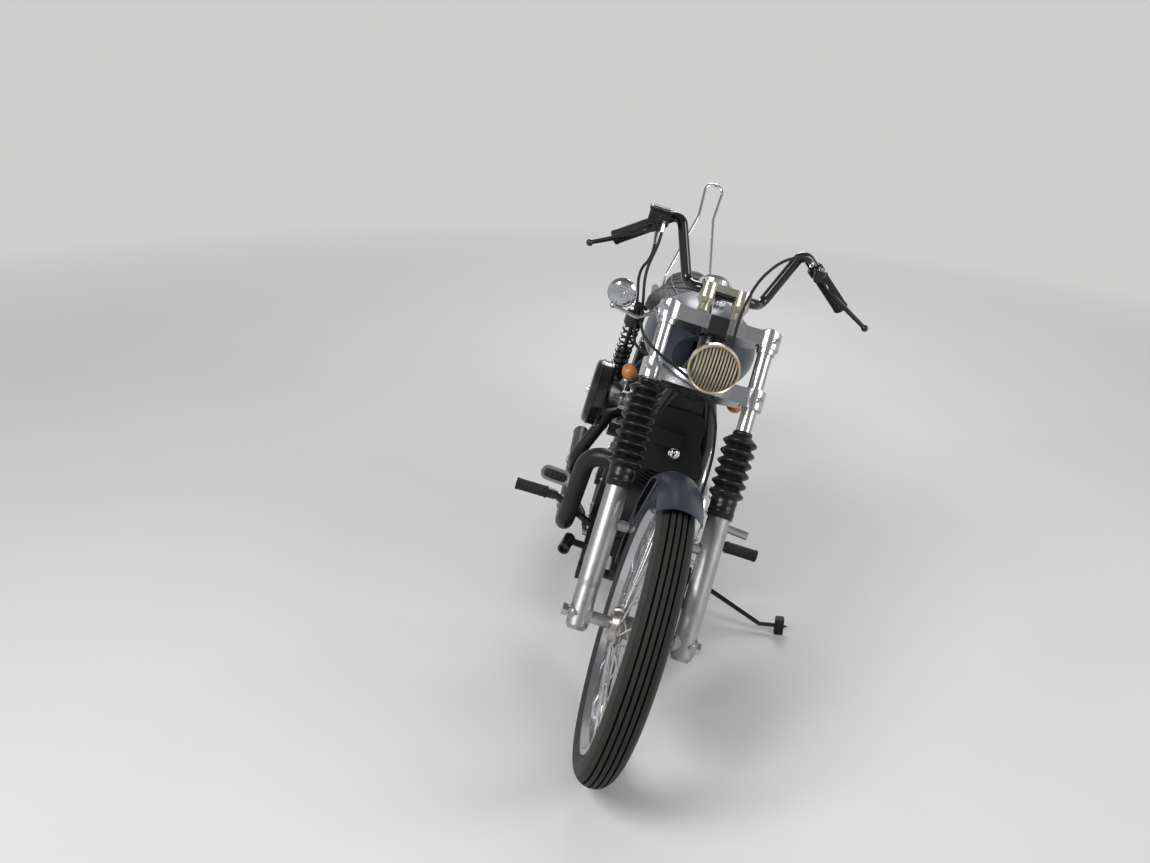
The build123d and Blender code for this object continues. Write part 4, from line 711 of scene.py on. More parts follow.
class Stance:
    """Leans the upright machine and puts it into the frame's row, in metres."""

    def __init__(self, joints: Iterable[dict]) -> None:
        """Finds the row's shift from the front wheel's joint.

        Args:
            joints: The frame's joints.
        """
        wheel = next(j for j in joints if j["name"] == "front_wheel_spin")
        lean = Matrix.Rotation(radians(LAYOUT.lean_deg), 4, "Y") @ Matrix.Scale(0.001, 4)
        shift = Vector(wheel["pos_m"]) - lean @ LAYOUT.front_hub
        self.hub = Vector(wheel["pos_m"])
        self.matrix = Matrix.Translation(shift) @ lean

    def row(self, point: Point) -> Vector:
        """A point of the upright machine, in the row frame in metres."""
        return self.matrix @ Vector(point)


def basis(axis: Vector, hint: Vector | None = None) -> Matrix:
    """A turn that takes Z to an axis.

    Args:
        axis: The new Z.
        hint: A direction that the new X leans towards.

    Returns:
        The 4 by 4 rotation.
    """
    z = Vector(axis).normalized()
    seed = Vector(hint) if hint is not None else (Vector((1, 0, 0)) if abs(z.x) < 0.9 else Vector((0, 1, 0)))
    x = (seed - z * seed.dot(z)).normalized()
    y = z.cross(x)
    return Matrix((
        (x.x, y.x, z.x, 0), (x.y, y.y, z.y, 0), (x.z, y.z, z.z, 0), (0, 0, 0, 1),
    ))


def mirrored(point: Point, side: int) -> Vector:
    """A point of the rider's left, or its twin on the right for a side of -1."""
    return Vector((side * point[0], point[1], point[2]))


def round_x(centre: Point, x: float, radius: float, angle: float) -> Vector:
    """A point of a circle about an axis along X.

    Args:
        centre: The circle's centre.
        x: How far to the left of the centre the circle lies.
        radius: Its radius.
        angle: The point's angle in radians, from Y towards Z.

    Returns:
        The point.
    """
    return Vector(centre) + Vector((x, radius * cos(angle), radius * sin(angle)))


def new_object(name: str, data: bpy.types.ID) -> Piece:
    """Puts a new object into the scene.

    Args:
        name: Its name.
        data: Its mesh, lamp or camera.

    Returns:
        The object.
    """
    made = bpy.data.objects.new(name, data)
    bpy.context.scene.collection.objects.link(made)
    return made


class Shape:
    """Gathers geometry for one piece in the upright machine's millimetres."""

    def __init__(self, finish: Finish) -> None:
        """Starts empty.

        Args:
            finish: The finish of the first faces.
        """
        self.mesh = bmesh.new()
        self.finishes: list[Finish] = [finish]
        self.current = 0

    def use(self, finish: Finish) -> "Shape":
        """Gives the faces that follow another finish.

        Args:
            finish: Their finish.

        Returns:
            This shape.
        """
        if finish not in self.finishes:
            self.finishes.append(finish)
        self.current = self.finishes.index(finish)
        return self

    def face(self, corners: Sequence[bmesh.types.BMVert]) -> None:
        """Adds one face in the current finish, unless its corners fall together.

        Args:
            corners: Its corners in order.
        """
        if len(set(corners)) < 3:
            return
        made = self.mesh.faces.new(corners)
        made.material_index = self.current
        made.smooth = True

    def grid(self, rows: Sequence[Sequence[Vector]]) -> list[list[bmesh.types.BMVert]]:
        """Skins rows of points, each of which closes on itself.

        Args:
            rows: Equal rows of points.

        Returns:
            The rows' corners.
        """
        made = [[self.mesh.verts.new(p) for p in row] for row in rows]
        for low, high in zip(made, made[1:]):
            for i in range(len(low)):
                j = (i + 1) % len(low)
                self.face([low[i], low[j], high[j], high[i]])
        return made

    def lathe(self, profile: Profile, origin: Point, axis: Point, segments: int = 48,
              cap: bool = False) -> None:
        """Turns a profile about an axis.

        Args:
            profile: (radius, height) pairs along the axis.
            origin: Where height 0 lies.
            axis: The axis' direction.
            segments: How many steps go round.
            cap: Whether ends off the axis are closed with a flat face.
        """
        turn = Matrix.Translation(Vector(origin)) @ basis(Vector(axis))
        rings: list[list[bmesh.types.BMVert]] = []
        for radius, height in profile:
            ring = []
            steps = segments if radius > 1e-6 else 1
            for i in range(steps):
                angle = tau * i / steps
                ring.append(self.mesh.verts.new(
                    turn @ Vector((radius * cos(angle), radius * sin(angle), height))))
            rings.append(ring)
        for low, high in zip(rings, rings[1:]):
            for i in range(segments):
                j = (i + 1) % segments
                quad = [low[i % len(low)], low[j % len(low)], high[j % len(high)], high[i % len(high)]]
                self.face(list(dict.fromkeys(quad)))
        if cap:
            self.face(rings[0][::-1])
            self.face(rings[-1])

    def ring(self, profile: Profile, origin: Point, axis: Point, segments: int = 48) -> None:
        """Turns a closed outline about an axis, as a hollow ring.

        Args:
            profile: The outline's (radius, height) corners.
            origin: Where height 0 lies.
            axis: The axis' direction.
            segments: How many steps go round.
        """
        self.lathe([*profile, profile[0]], origin, axis, segments)

    def fluted(self, profile: Sequence[tuple[float, float, float]], place: Matrix, flutes: int) -> None:
        """Turns a profile into a skin with rounded flutes.

        Args:
            profile: (radius, height, depth of the flutes) up the axis.
            place: The frame that it stands in.
            flutes: How many flutes go round.
        """
        steps = 6 * flutes
        rows = []
        for radius, height, depth in profile:
            row = []
            for i in range(steps):
                angle = tau * i / steps
                reach = radius - depth * (0.5 + 0.5 * cos(flutes * angle))
                row.append(place @ Vector((reach * cos(angle), reach * sin(angle), height)))
            rows.append(row)
        self.grid(rows)

    def rod(self, start: Point, end: Point, radius: float, end_radius: float | None = None,
            segments: int = 24, chamfer: float = 0.0) -> None:
        """A round rod or cone between two points.

        Args:
            start: One end.
            end: The other end.
            radius: Its radius at the start.
            end_radius: Its radius at the end, if another.
            segments: How many steps go round.
            chamfer: The chamfer at both ends.
        """
        way = Vector(end) - Vector(start)
        length, cut = way.length, chamfer
        last = radius if end_radius is None else end_radius
        profile = [(radius, 0), (last, length)]
        if chamfer:
            profile = [(radius - cut, 0), (radius, cut), (last, length - cut), (last - cut, length)]
        self.lathe(profile, start, way, segments, cap=True)

    def ball(self, centre: Point, radius: float, segments: int = 24) -> None:
        """A round ball.

        Args:
            centre: Its centre.
            radius: Its radius.
            segments: How many steps go round.
        """
        steps = max(6, segments // 2)
        angles = [pi * i / steps for i in range(steps + 1)]
        profile = [(radius * sin(a), -radius * cos(a)) for a in angles]
        self.lathe(profile, centre, (0, 0, 1), segments)

    def bolt(self, at: Point, direction: Point, across: float = 10.0, height: float = 6.0,
             domed: bool = False) -> None:
        """A bolt head on its washer.

        Args:
            at: Where the washer lies.
            direction: Where the head points.
            across: The head's width across corners.
            height: The head's height.
            domed: Whether it is a round cap nut.
        """
        r = across / 2
        self.lathe([(r * 1.25, -0.6), (r * 1.25, 0.9), (r * 1.15, 1.2), (0, 1.2)], at, direction, 20)
        side = [(r, height - 0.8), (0.86 * r, height)]
        if domed:
            side = [(r, 0.45 * height), (0.86 * r, 0.75 * height), (0.5 * r, 0.95 * height)]
        self.lathe([(r, 1.2), *side, (0, height)], at, direction, 20 if domed else 6)

    def box(self, centre: Point, size: Point, turn: Matrix | None = None, bevel: float = 2.0,
            steps: int = 3) -> None:
        """A box with rounded edges.

        Args:
            centre: Its middle.
            size: Its lengths along its own axes.
            turn: Its rotation, if any.
            bevel: The edges' rounding.
            steps: The rounding's steps.
        """
        before = set(self.mesh.faces)
        made = bmesh.ops.create_cube(self.mesh, size=1.0)["verts"]
        for vert in made:
            vert.co = vert.co * Vector(size)
        edges = list({e for v in made for e in v.link_edges})
        place = Matrix.Translation(Vector(centre)) @ (turn or Matrix.Identity(4))
        self.settle(before, edges, place, bevel, steps)

    def settle(self, before: set, edges: Sequence[bmesh.types.BMEdge], place: Matrix, bevel: float,
               steps: int) -> None:
        """Rounds the edges of a block, moves it to its place and gives it the current finish.

        Args:
            before: The faces that were there before the block.
            edges: The block's edges.
            place: Where it goes.
            bevel: The edges' rounding.
            steps: The rounding's steps.
        """
        bmesh.ops.bevel(self.mesh, geom=edges, offset=bevel, segments=steps, profile=0.5, affect="EDGES")
        faces = [f for f in self.mesh.faces if f not in before]
        for vert in {v for f in faces for v in f.verts}:
            vert.co = place @ vert.co
        for made in faces:
            made.material_index = self.current
            made.smooth = True

    def plate(self, outline: Profile, low: float, high: float, place: Matrix, bevel: float = 2.0,
              steps: int = 3) -> None:
        """A plate with rounded edges.

        Args:
            outline: Its (x, y) corners in its own plane, going round to the left.
            low: Where its lower face lies above that plane.
            high: Where its upper face lies.
            place: The plane's frame.
            bevel: The edges' rounding.
            steps: The rounding's steps.
        """
        before = set(self.mesh.faces)
        bottom = [self.mesh.verts.new((x, y, low)) for x, y in outline]
        top = [self.mesh.verts.new((x, y, high)) for x, y in outline]
        faces = [self.mesh.faces.new(bottom[::-1]), self.mesh.faces.new(top)]
        for i, corner in enumerate(bottom):
            j = (i + 1) % len(bottom)
            faces.append(self.mesh.faces.new([corner, bottom[j], top[j], top[i]]))
        self.settle(before, list({e for f in faces for e in f.edges}), place, bevel, steps)

    def tube(self, points: Sequence[Point], radius: float | Sequence[float], segments: int = 16,
             flat: float = 1.0, hint: Point | None = None) -> None:
        """A round or flattened tube along points.

        Args:
            points: The centreline's points.
            radius: One radius, or one for each point.
            segments: How many steps go round.
            flat: The section's second width as a share of the first.
            hint: The direction that the section's first width lies along.
        """
        line = [Vector(p) for p in points]
        radii = [radius] * len(line) if isinstance(radius, (int, float)) else radius
        side = Vector(hint) if hint is not None else None
        rows = []
        for i, (point, reach) in enumerate(zip(line, radii)):
            along = (line[min(i + 1, len(line) - 1)] - line[max(i - 1, 0)]).normalized()
            if side is None:
                side = Vector((0, 0, 1)) if abs(along.z) < 0.9 else Vector((1, 0, 0))
            side = (side - along * side.dot(along)).normalized()
            other = along.cross(side) * flat
            angles = [tau * k / segments for k in range(segments)]
            rows.append([point + (side * cos(a) + other * sin(a)) * reach for a in angles])
        made = self.grid(rows)
        self.face(made[0][::-1])
        self.face(made[-1])

    def piece(self, name: str, stance: Stance, sharp_deg: float = 32.0) -> Piece:
        """Turns what was gathered into an object in the row frame.

        Args:
            name: The object's name.
            stance: The machine's stance.
            sharp_deg: The angle beyond which an edge stays sharp.

        Returns:
            The object.
        """
        bmesh.ops.transform(self.mesh, matrix=stance.matrix, verts=self.mesh.verts)
        bmesh.ops.recalc_face_normals(self.mesh, faces=self.mesh.faces)
        mesh = bpy.data.meshes.new(name)
        self.mesh.to_mesh(mesh)
        self.mesh.free()
        mesh.set_sharp_from_angle(angle=radians(sharp_deg))
        made = new_object(name, mesh)
        for finish in self.finishes:
            mesh.materials.append(finish.material())
        return made


def smooth_line(points: Sequence[Point], steps: int) -> list[Vector]:
    """A smooth line through points.

    Args:
        points: The points it passes through.
        steps: How many steps lie between two of them.

    Returns:
        The line's points.
    """
    p = [Vector(q) for q in points]
    p = [p[0] * 2 - p[1], *p, p[-1] * 2 - p[-2]]
    out: list[Vector] = []
    for a, b, c, d in zip(p, p[1:], p[2:], p[3:]):
        for k in range(steps):
            t = k / steps
            out.append(0.5 * (2 * b + (c - a) * t + (2 * a - 5 * b + 4 * c - d) * t * t
                              + (3 * b - a - 3 * c + d) * t * t * t))
    out.append(p[-2])
    return out


@dataclass
class Assembly:
    """What every sub-assembly shares: the stance, the frame's nodes and the hand-over of pieces."""

    stance: Stance
    nodes: dict[str, Piece]

    def add(self, shape: Shape, name: str, body: Body, slot: str, replaces: Sequence[str] = (),
            sharp_deg: float = 32.0) -> None:
        """Makes a piece of the machine from a shape.

        Args:
            shape: The gathered geometry.
            name: The piece's name.
            body: The body that it rides on.
            slot: The record's material slot; not used.
            replaces: The CAD nodes that it stands for.
            sharp_deg: The angle beyond which an edge stays sharp.
        """
        made = shape.piece(name, self.stance, sharp_deg)
        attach(made, body.value)
        if replaces:
            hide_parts(*replaces)
        LOG.info("%s: %d faces on %s", name, len(made.data.polygons), body.value)

    def dress(self, finish: Finish, *names: str) -> None:
        """Gives CAD nodes a finish.

        Args:
            finish: The finish.
            names: The nodes.
        """
        for name in names:
            node = self.nodes[name]
            node.data.materials.clear()
            node.data.materials.append(finish.material())
            LOG.info("%s wears %s", name, finish.name)


@dataclass(frozen=True)
class RolledEdge:
    """The rolled wire edge of a fender, on a circle about its wheel's hub."""

    hub: Vector
    x: float
    radius: float
    start_deg: float
    sweep_deg: float
    steps: int
    wire: float

    def shape(self) -> Shape:
        """Bends the wire along both sides of the fender.

        Returns:
            Both wires.
        """
        shape = Shape(Finishes.PAINT)
        for side in (-1, 1):
            line = []
            for i in range(self.steps + 1):
                angle = radians(self.start_deg - self.sweep_deg * i / self.steps)
                line.append(round_x(self.hub, side * self.x, self.radius, angle))
            shape.tube(line, self.wire, 10)
        return shape


# Wheels


@dataclass
class Wheel(Assembly):
    """One spoked wheel with its tyre."""

    name: str = "front"
    body: Body = Body.FRONT_WHEEL
    hub: Vector = field(default_factory=lambda: LAYOUT.front_hub)
    radius: float = 345.0
    crown: float = 42.0
    half: float = 41.0
    flange: float = 285.0
    rim_half: float = 33.0
    groove_at: tuple[float, ...] = (-19.0, -6.4, 6.4, 19.0)
    groove_half: float = 1.9
    groove_depth: float = 4.5
    tread_half: float = 33.0
    shoulder_cuts: int = 0
    cut_share: float = 0.22
    cut_slant: float = 0.012
    spoke_count: int = 20
    hub_x: float = 30.0
    rim_x: float = 7.0
    hub_r: float = 46.0
    sweep_deg: float = 38.0
    valve_angle: float = 2.2
    segments: int = 180

    def section(self) -> list[tuple[float, float, int]]:
        """The tyre's section from bead to bead.

        Returns:
            (x, radius, kind) for each point, kind being 0 for wall, 1 for rib and 2 for groove.
        """
        def top(x: float) -> float:
            """The crown's radius at a distance from the middle."""
            return self.radius - self.crown + sqrt(max(self.crown ** 2 - x * x, 0.0))

        wall_r = top(self.half)
        lip = self.rim_half - 2.0
        left = [
            (-lip, self.flange + 1.0, 0), (-lip - 2.6, self.flange + 2.5, 0),
            (-lip - 4.0, self.flange + 5.5, 0), (-lip - 3.0, self.flange + 8.0, 0),
            (-lip - 4.6, self.flange + 10.5, 0),
            (-self.half + 0.6, wall_r - 5, 0), (-self.half, wall_r, 0),
        ]
        crown: list[tuple[float, float, int]] = []
        steps = 40
        for i in range(1, steps):
            x = -self.half + 2 * self.half * i / steps
            if all(abs(x - g) > self.groove_half + 0.8 for g in self.groove_at):
                crown.append((x, top(x), 1 if abs(x) < self.tread_half else 0))
        for g in self.groove_at:
            w, d = self.groove_half, self.groove_depth
            crown += [
                (g - w - 0.3, top(g - w), 1), (g - w + 0.2, top(g) - 0.8, 2), (g - w + 0.5, top(g) - d, 2),
                (g + w - 0.5, top(g) - d, 2), (g + w - 0.2, top(g) - 0.8, 2), (g + w + 0.3, top(g + w), 1),
            ]
        crown.sort(key=lambda row: row[0])
        return left + crown + [(-x, r, kind) for x, r, kind in reversed(left)]

    def tyre(self) -> None:
        """Builds the tyre with its tread and side walls."""
        section = self.section()
        shape = Shape(Finishes.SIDEWALL)
        shape.use(Finishes.TREAD).use(Finishes.GROOVE)
        made = []
        for i in range(self.segments):
            angle = tau * i / self.segments
            row = []
            for x, r, kind in section:
                wave = (angle * self.shoulder_cuts / tau + self.cut_slant * abs(x)) % 1.0
                shoulder = kind == 1 and abs(x) > self.groove_at[-1] + 4
                if self.shoulder_cuts and shoulder and wave < self.cut_share:
                    r -= self.groove_depth * 0.8
                row.append(shape.mesh.verts.new(round_x(self.hub, x, r, angle)))
            made.append(row)
        for low, high in zip(made, made[1:] + made[:1]):
            for k in range(len(section) - 1):
                kinds = (section[k][2], section[k + 1][2])
                shape.current = 0 if 0 in kinds else max(kinds)
                shape.face([low[k], low[k + 1], high[k + 1], high[k]])
        self.add(shape, f"{self.name}_tyre_tread", self.body, "tyre_rubber", [f"{self.name}_tyre"], 45)

    def nipples(self) -> None:
        """Builds the spoke nipples at the rim, the spokes' heads at the hub and the valve."""
        shape = Shape(Finishes.WORN_CHROME)
        rim_r = self.flange - LAYOUT.rim_drop
        for side in (-1, 1):
            for i in range(self.spoke_count):
                way = 1 if i % 2 else -1
                angle = tau / self.spoke_count * (i + (0.5 if side > 0 else 0))
                turned = angle + way * radians(self.sweep_deg)
                start = round_x(self.hub, side * self.hub_x + way * 3.0, self.hub_r, angle)
                end = round_x(self.hub, side * self.rim_x, rim_r, turned)
                inward = (start - end).normalized()
                shape.rod(end - inward * 1.5, end + inward * 15, 3.4, 2.7, 10)
                shape.lathe([(4.6, 0), (4.6, 1.6), (3.4, 2.6)], end - inward * 0.5, inward, 10)
                shape.ball(start, 3.3, 8)
        stem = round_x(self.hub, 0, rim_r, self.valve_angle)
        inward = (self.hub - stem).normalized()
        shape.use(Finishes.RUBBER).rod(stem, stem + inward * 22, 3.6, 3.0, 12)
        shape.use(Finishes.CHROME).rod(stem + inward * 22, stem + inward * 30, 3.8, segments=12, chamfer=0.6)
        self.add(shape, f"{self.name}_spoke_nipples", self.body, "chrome")

    def build(self) -> None:
        """Builds and dresses the wheel."""
        self.tyre()
        self.nipples()
        self.dress(Finishes.RIM_CHROME, f"{self.name}_rim")
        self.dress(Finishes.DISC, f"{self.name}_disc")
        row = self.stance.row(self.hub)
        lean = radians(LAYOUT.lean_deg)
        hub = HubFinish(
            f"{self.name} hub and spokes", (0.44, 0.42, 0.39), (0.62, 0.62, 0.62), metallic=1.0,
            roughness=0.28, spread=0.06, centre=tuple(row), axis=(cos(lean), 0.0, -sin(lean)),
            edge=(self.hub_r + 7) / 1000)
        self.dress(hub, f"{self.name}_hub")


# Fork and steering


@dataclass
class Fork(Assembly):
    """The telescopic fork with its clamps, gaiters, fender and brake."""

    slider_r: float = 26.0
    tube_r: float = 17.5
    slider_top: float = 320.0
    gaiter_r: float = 40.0
    tops: tuple[float, float] = (548.0, 496.0)
    folds: tuple[int, int] = (9, 6)
    lug_up: float = 212.0
    disc_x: float = 64.0
    caliper_w: float = 64.0
    caliper_up: float = 118.0
    caliper_back: float = 62.0
    lug_x: float = 64.5
    clamp_screw_x: float = 134.0
    clamp_screw_ups: tuple[float, float] = (574.0, 717.5)

    def gaiter_profile(self, top: float, folds: int) -> list[tuple[float, float]]:
        """One gaiter's outline up the fork.

        Args:
            top: Where its neck ends.
            folds: How many folds it has.

        Returns:
            (radius, height) pairs, closed.
        """
        collar = self.slider_r + 3.5
        low = self.slider_top - 28
        start, end = self.slider_top + 18, top - 14
        out = [
            (self.slider_r, low), (collar - 0.6, low), (collar, low + 1.2), (collar, low + 10),
            (collar + 1.0, low + 11), (collar + 1.0, low + 17), (collar, low + 18),
            (collar, self.slider_top + 4), (collar + 1.5, start - 4),
        ]
        steps = 12
        for i in range(folds * steps + 1):
            share = i / (folds * steps)
            wave = 0.5 - 0.5 * cos(tau * folds * share)
            out.append((self.gaiter_r - 11.5 + 11.5 * wave ** 0.75, start + (end - start) * share))
        neck = self.tube_r + 4
        out += [
            (neck + 2, end + 3), (neck, end + 5), (neck + 1.2, end + 7), (neck + 1.2, end + 11),
            (neck, end + 12), (neck, top), (self.tube_r, top),
        ]
        return out

    def gaiters(self) -> None:
        """Builds both rubber gaiters with their clips."""
        shape = Shape(Finishes.GAITER)
        for side, top, folds in zip((-1, 1), self.tops, self.folds):
            origin = LAYOUT.fork(side * LAYOUT.fork_half, 0, 0)
            shape.ring(self.gaiter_profile(top, folds), origin, LAYOUT.fork_axis, 56)
        self.add(shape, "fork_gaiter_folds", Body.STEERING, "gaiter_rubber", ["fork_gaiters"], 60)

    def slider_details(self) -> None:
        """Adds the sliders' lug nuts, axle screws and drain screws."""
        shape = Shape(Finishes.BOLT)
        back = LAYOUT.fork_back
        for side in (-1, 1):
            x = side * LAYOUT.fork_half
            shape.bolt(LAYOUT.fork(side * self.lug_x, 0, self.lug_up), (-side, 0, 0), 17, 9, domed=True)
            shape.bolt(LAYOUT.fork(x + side * 14, -22, 0), -back, 11, 7)
            shape.bolt(LAYOUT.fork(x, 40, 0), back, 12, 8)
            shape.bolt(LAYOUT.fork(x, -25, 24), -back, 8, 4)
        self.add(shape, "slider_bolts", Body.STEERING, "chrome")

    def clamp_screws(self) -> None:
        """Adds the clamps' pinch screws and the caliper's pins and bleed nipple."""
        shape = Shape(Finishes.CHROME)
        socket = [(5.6, 0), (5.6, 4.2), (4.9, 5), (2.9, 5), (2.9, 2.6), (0, 2.6)]
        pin = [(9.5, 0), (9.5, 0.8), (8.4, 1.4), (3.4, 1.4), (3.4, 0.4), (0, 0.4)]
        for side in (-1, 1):
            for up in self.clamp_screw_ups:
                for face in (-31, 31):
                    at = LAYOUT.fork(side * self.clamp_screw_x, face, up)
                    shape.lathe(socket, at, LAYOUT.fork_back * face, 24)
        outer = self.disc_x + 2 + self.caliper_w / 2 + 5
        back = self.caliper_back + 8
        for up in (self.caliper_up - 24, self.caliper_up + 24):
            shape.lathe(pin, LAYOUT.fork(outer, back, up), (1, 0, 0), 28)
        at = LAYOUT.fork(outer - 12, back, self.caliper_up + 40)
        shape.use(Finishes.BOLT).rod(at, at + LAYOUT.fork_axis * 9, 3.4, 2.4, 12, chamfer=0.5)
        self.add(shape, "clamp_screws", Body.STEERING, "chrome")

    def fender_edge(self) -> None:
        """Adds the rolled wire edge of the front fender."""
        edge = RolledEdge(
            LAYOUT.front_hub, x=48.4, radius=336.6, start_deg=102.6, sweep_deg=109.2, steps=48, wire=2.1)
        self.add(edge.shape(), "front_fender_edge", Body.STEERING, "body_paint", (), 60)

    def build(self) -> None:
        """Builds and dresses the fork."""
        self.gaiters()
        self.slider_details()
        self.clamp_screws()
        self.fender_edge()
        self.dress(Finishes.WORN_CHROME, "fork_tubes", "front_axle")
        self.dress(Finishes.FORK_ALLOY, "fork_sliders")
        self.dress(Finishes.POLISHED, "lower_clamp", "upper_clamp")
        self.dress(Finishes.ENAMEL, "front_caliper")
        self.dress(Finishes.PAINT, "front_fender")


@dataclass
class Cockpit(Assembly):
    """The handlebar, controls, instruments and headlamp."""

    riser_back: float = 52.0
    riser_top: float = 810.0
    lamp: Place = (0, 205, 910)
    lamp_r: float = 56.5
    perch_at: float = 0.33
    upper_bend: Place = (154, 91, 138)
    bar_end: Place = (290, 105, 33)
    lever_tip: Place = (345, 25, 19)
    reservoir_from_bar: Place = (-205, 45, 123)
    gauge_at: Place = (-24, 525, 1012)
    gauge_facing: Place = (0, 0.75, 0.66)
    mirror_at: Place = (-238, 350, 974)
    mirror_facing: Place = (0.10, 1.0, 0.05)
    mirror_elbow: Place = (-186, 350, 929)
    mirror_knee: Place = (-250, 352, 940)

    @property
    def bar_centre(self) -> Vector:
        """The middle of the handlebar in its risers."""
        return LAYOUT.fork(0, self.riser_back, self.riser_top)

    def on_bar(self, share: float, side: int = 1) -> Vector:
        """A point of a grip's run.

        Args:
            share: From 0 at the upper bend to 1 at the bar's end.
            side: 1 for the rider's left and -1 for the right.

        Returns:
            The point.
        """
        high, end = Vector(self.upper_bend), Vector(self.bar_end)
        return mirrored(self.bar_centre + high + (end - high) * share, side)

    def grips(self) -> None:
        """Builds the ribbed rubber grips."""
        shape = Shape(Finishes.RUBBER)
        for side in (-1, 1):
            start, end = self.on_bar(0.44, side), self.on_bar(1.03, side)
            length = (end - start).length
            profile = [(12.7, 0), (18.6, 0), (19, 1.5), (19, 4.5), (17.8, 6)]
            pitch = (length - 18) / 19
            for i in range(19):
                base = 9 + pitch * i
                profile += [(16.6, base), (17.5, base + 0.2 * pitch), (17.5, base + 0.7 * pitch),
                            (16.6, base + 0.9 * pitch)]
            profile += [(18.2, length - 8), (18.4, length - 3), (16.5, length), (0, length + 0.5)]
            shape.lathe(profile, start, end - start, 32)
        self.add(shape, "ribbed_grips", Body.STEERING, "black_rubber", ["grips"], 40)

    def levers(self) -> None:
        """Builds the lever perches, blades and switch housings."""
        shape = Shape(Finishes.ENAMEL)
        root = self.on_bar(self.perch_at)
        head = root + Vector((6, -34, -4))
        mid = self.on_bar(0.62) + Vector((4, -62, -2))
        tip = self.bar_centre + Vector(self.lever_tip)
        blade = smooth_line([head, head + (mid - head) * 0.5, mid, mid + (tip - mid) * 0.55, tip], 6)
        widths = [8.5 - 3.2 * i / len(blade) for i in range(len(blade))]
        rise = Vector((0, 0, 13))
        for side in (-1, 1):
            pivot = mirrored(head, side)
            shape.use(Finishes.ENAMEL)
            shape.rod(self.on_bar(0.265, side), self.on_bar(0.395, side), 19.5, segments=32, chamfer=2.5)
            shape.rod(mirrored(root, side), pivot, 12.5, 11, 24, chamfer=1.0)
            shape.rod(pivot - rise, pivot + rise, 13.5, segments=24, chamfer=2)
            shape.tube([mirrored(p, side) for p in blade], widths, 16, flat=0.62, hint=(0, 0, 1))
            shape.ball(mirrored(tip, side), 8.6, 20)
            shape.use(Finishes.BOLT).bolt(pivot + rise, (0, 0, 1), 11, 5)
        self.add(shape, "hand_lever_set", Body.STEERING, "black_enamel", ["hand_levers"])

    def reservoir(self) -> None:
        """Builds the brake reservoir with its lid, screws and level glass."""
        at = self.bar_centre + Vector(self.reservoir_from_bar)
        shape = Shape(Finishes.PLASTIC)
        for rise, size, bevel in ((0, (50, 44, 34), 4), (19, (56, 50, 7), 2.2), (23, (40, 34, 3), 1.2)):
            shape.box(at + Vector((0, 0, rise)), size, bevel=bevel)
        shape.rod(at, self.on_bar(self.perch_at, -1), 11.5, segments=24)
        shape.use(Finishes.BOLT)
        for x in (-22, 22):
            shape.lathe([(3.6, 0), (3.2, 1.6), (0, 1.6)], at + Vector((x, 0, 22.4)), (0, 0, 1), 16)
        shape.use(Finishes.GLASS)
        shape.lathe([(8, 0), (7.4, 1.2), (0, 1.6)], at + Vector((0, -22, 0)), (0, -1, 0), 24)
        self.add(shape, "brake_reservoir", Body.STEERING, "black_plastic", ["master_cylinder"])

    def instrument(self) -> None:
        """Builds the round gauge with its dial, ticks, needle and stalk."""
        face = Vector(self.gauge_at)
        axis = Vector(self.gauge_facing).normalized()
        turn = basis(axis)
        place = Matrix.Translation(face) @ turn
        shape = Shape(Finishes.CHROME)
        shape.lathe([
            (0, -24), (22, -23.8), (29, -22), (32, -18), (38.5, -2), (41.6, -1), (42, 2), (41.2, 5),
            (38.5, 6), (37, 4.4), (37, 2),
        ], face, axis, 64)
        shape.use(Finishes.DIAL).lathe([(37.2, 2), (0, 2)], face, axis, 48)
        shape.use(Finishes.INK)
        for i in range(11):
            angle = radians(225 - 27 * i)
            at = place @ Vector((31 * cos(angle), 31 * sin(angle), 2.2))
            shape.box(at, (6, 1.3, 0.5), turn @ Matrix.Rotation(angle, 4, "Z"), 0.1, 1)
        needle = turn @ Matrix.Rotation(0.66, 4, "Z")
        shape.box(place @ Vector((-9, -7, 3.0)), (30, 1.6, 0.6), needle, 0.1, 1)
        shape.lathe([(3.4, 2), (3.4, 4), (0, 4.4)], face, axis, 20)
        shape.use(Finishes.GLASS).lathe([(37.2, 4.6), (20, 5.2), (0, 5.4)], face, axis, 48)
        foot = LAYOUT.fork(-18, LAYOUT.steer_offset + 12, 717.5)
        shape.use(Finishes.CHROME).rod(foot, face - axis * 19, 6, segments=20)
        self.add(shape, "round_gauge", Body.STEERING, "chrome", ["gauge"])

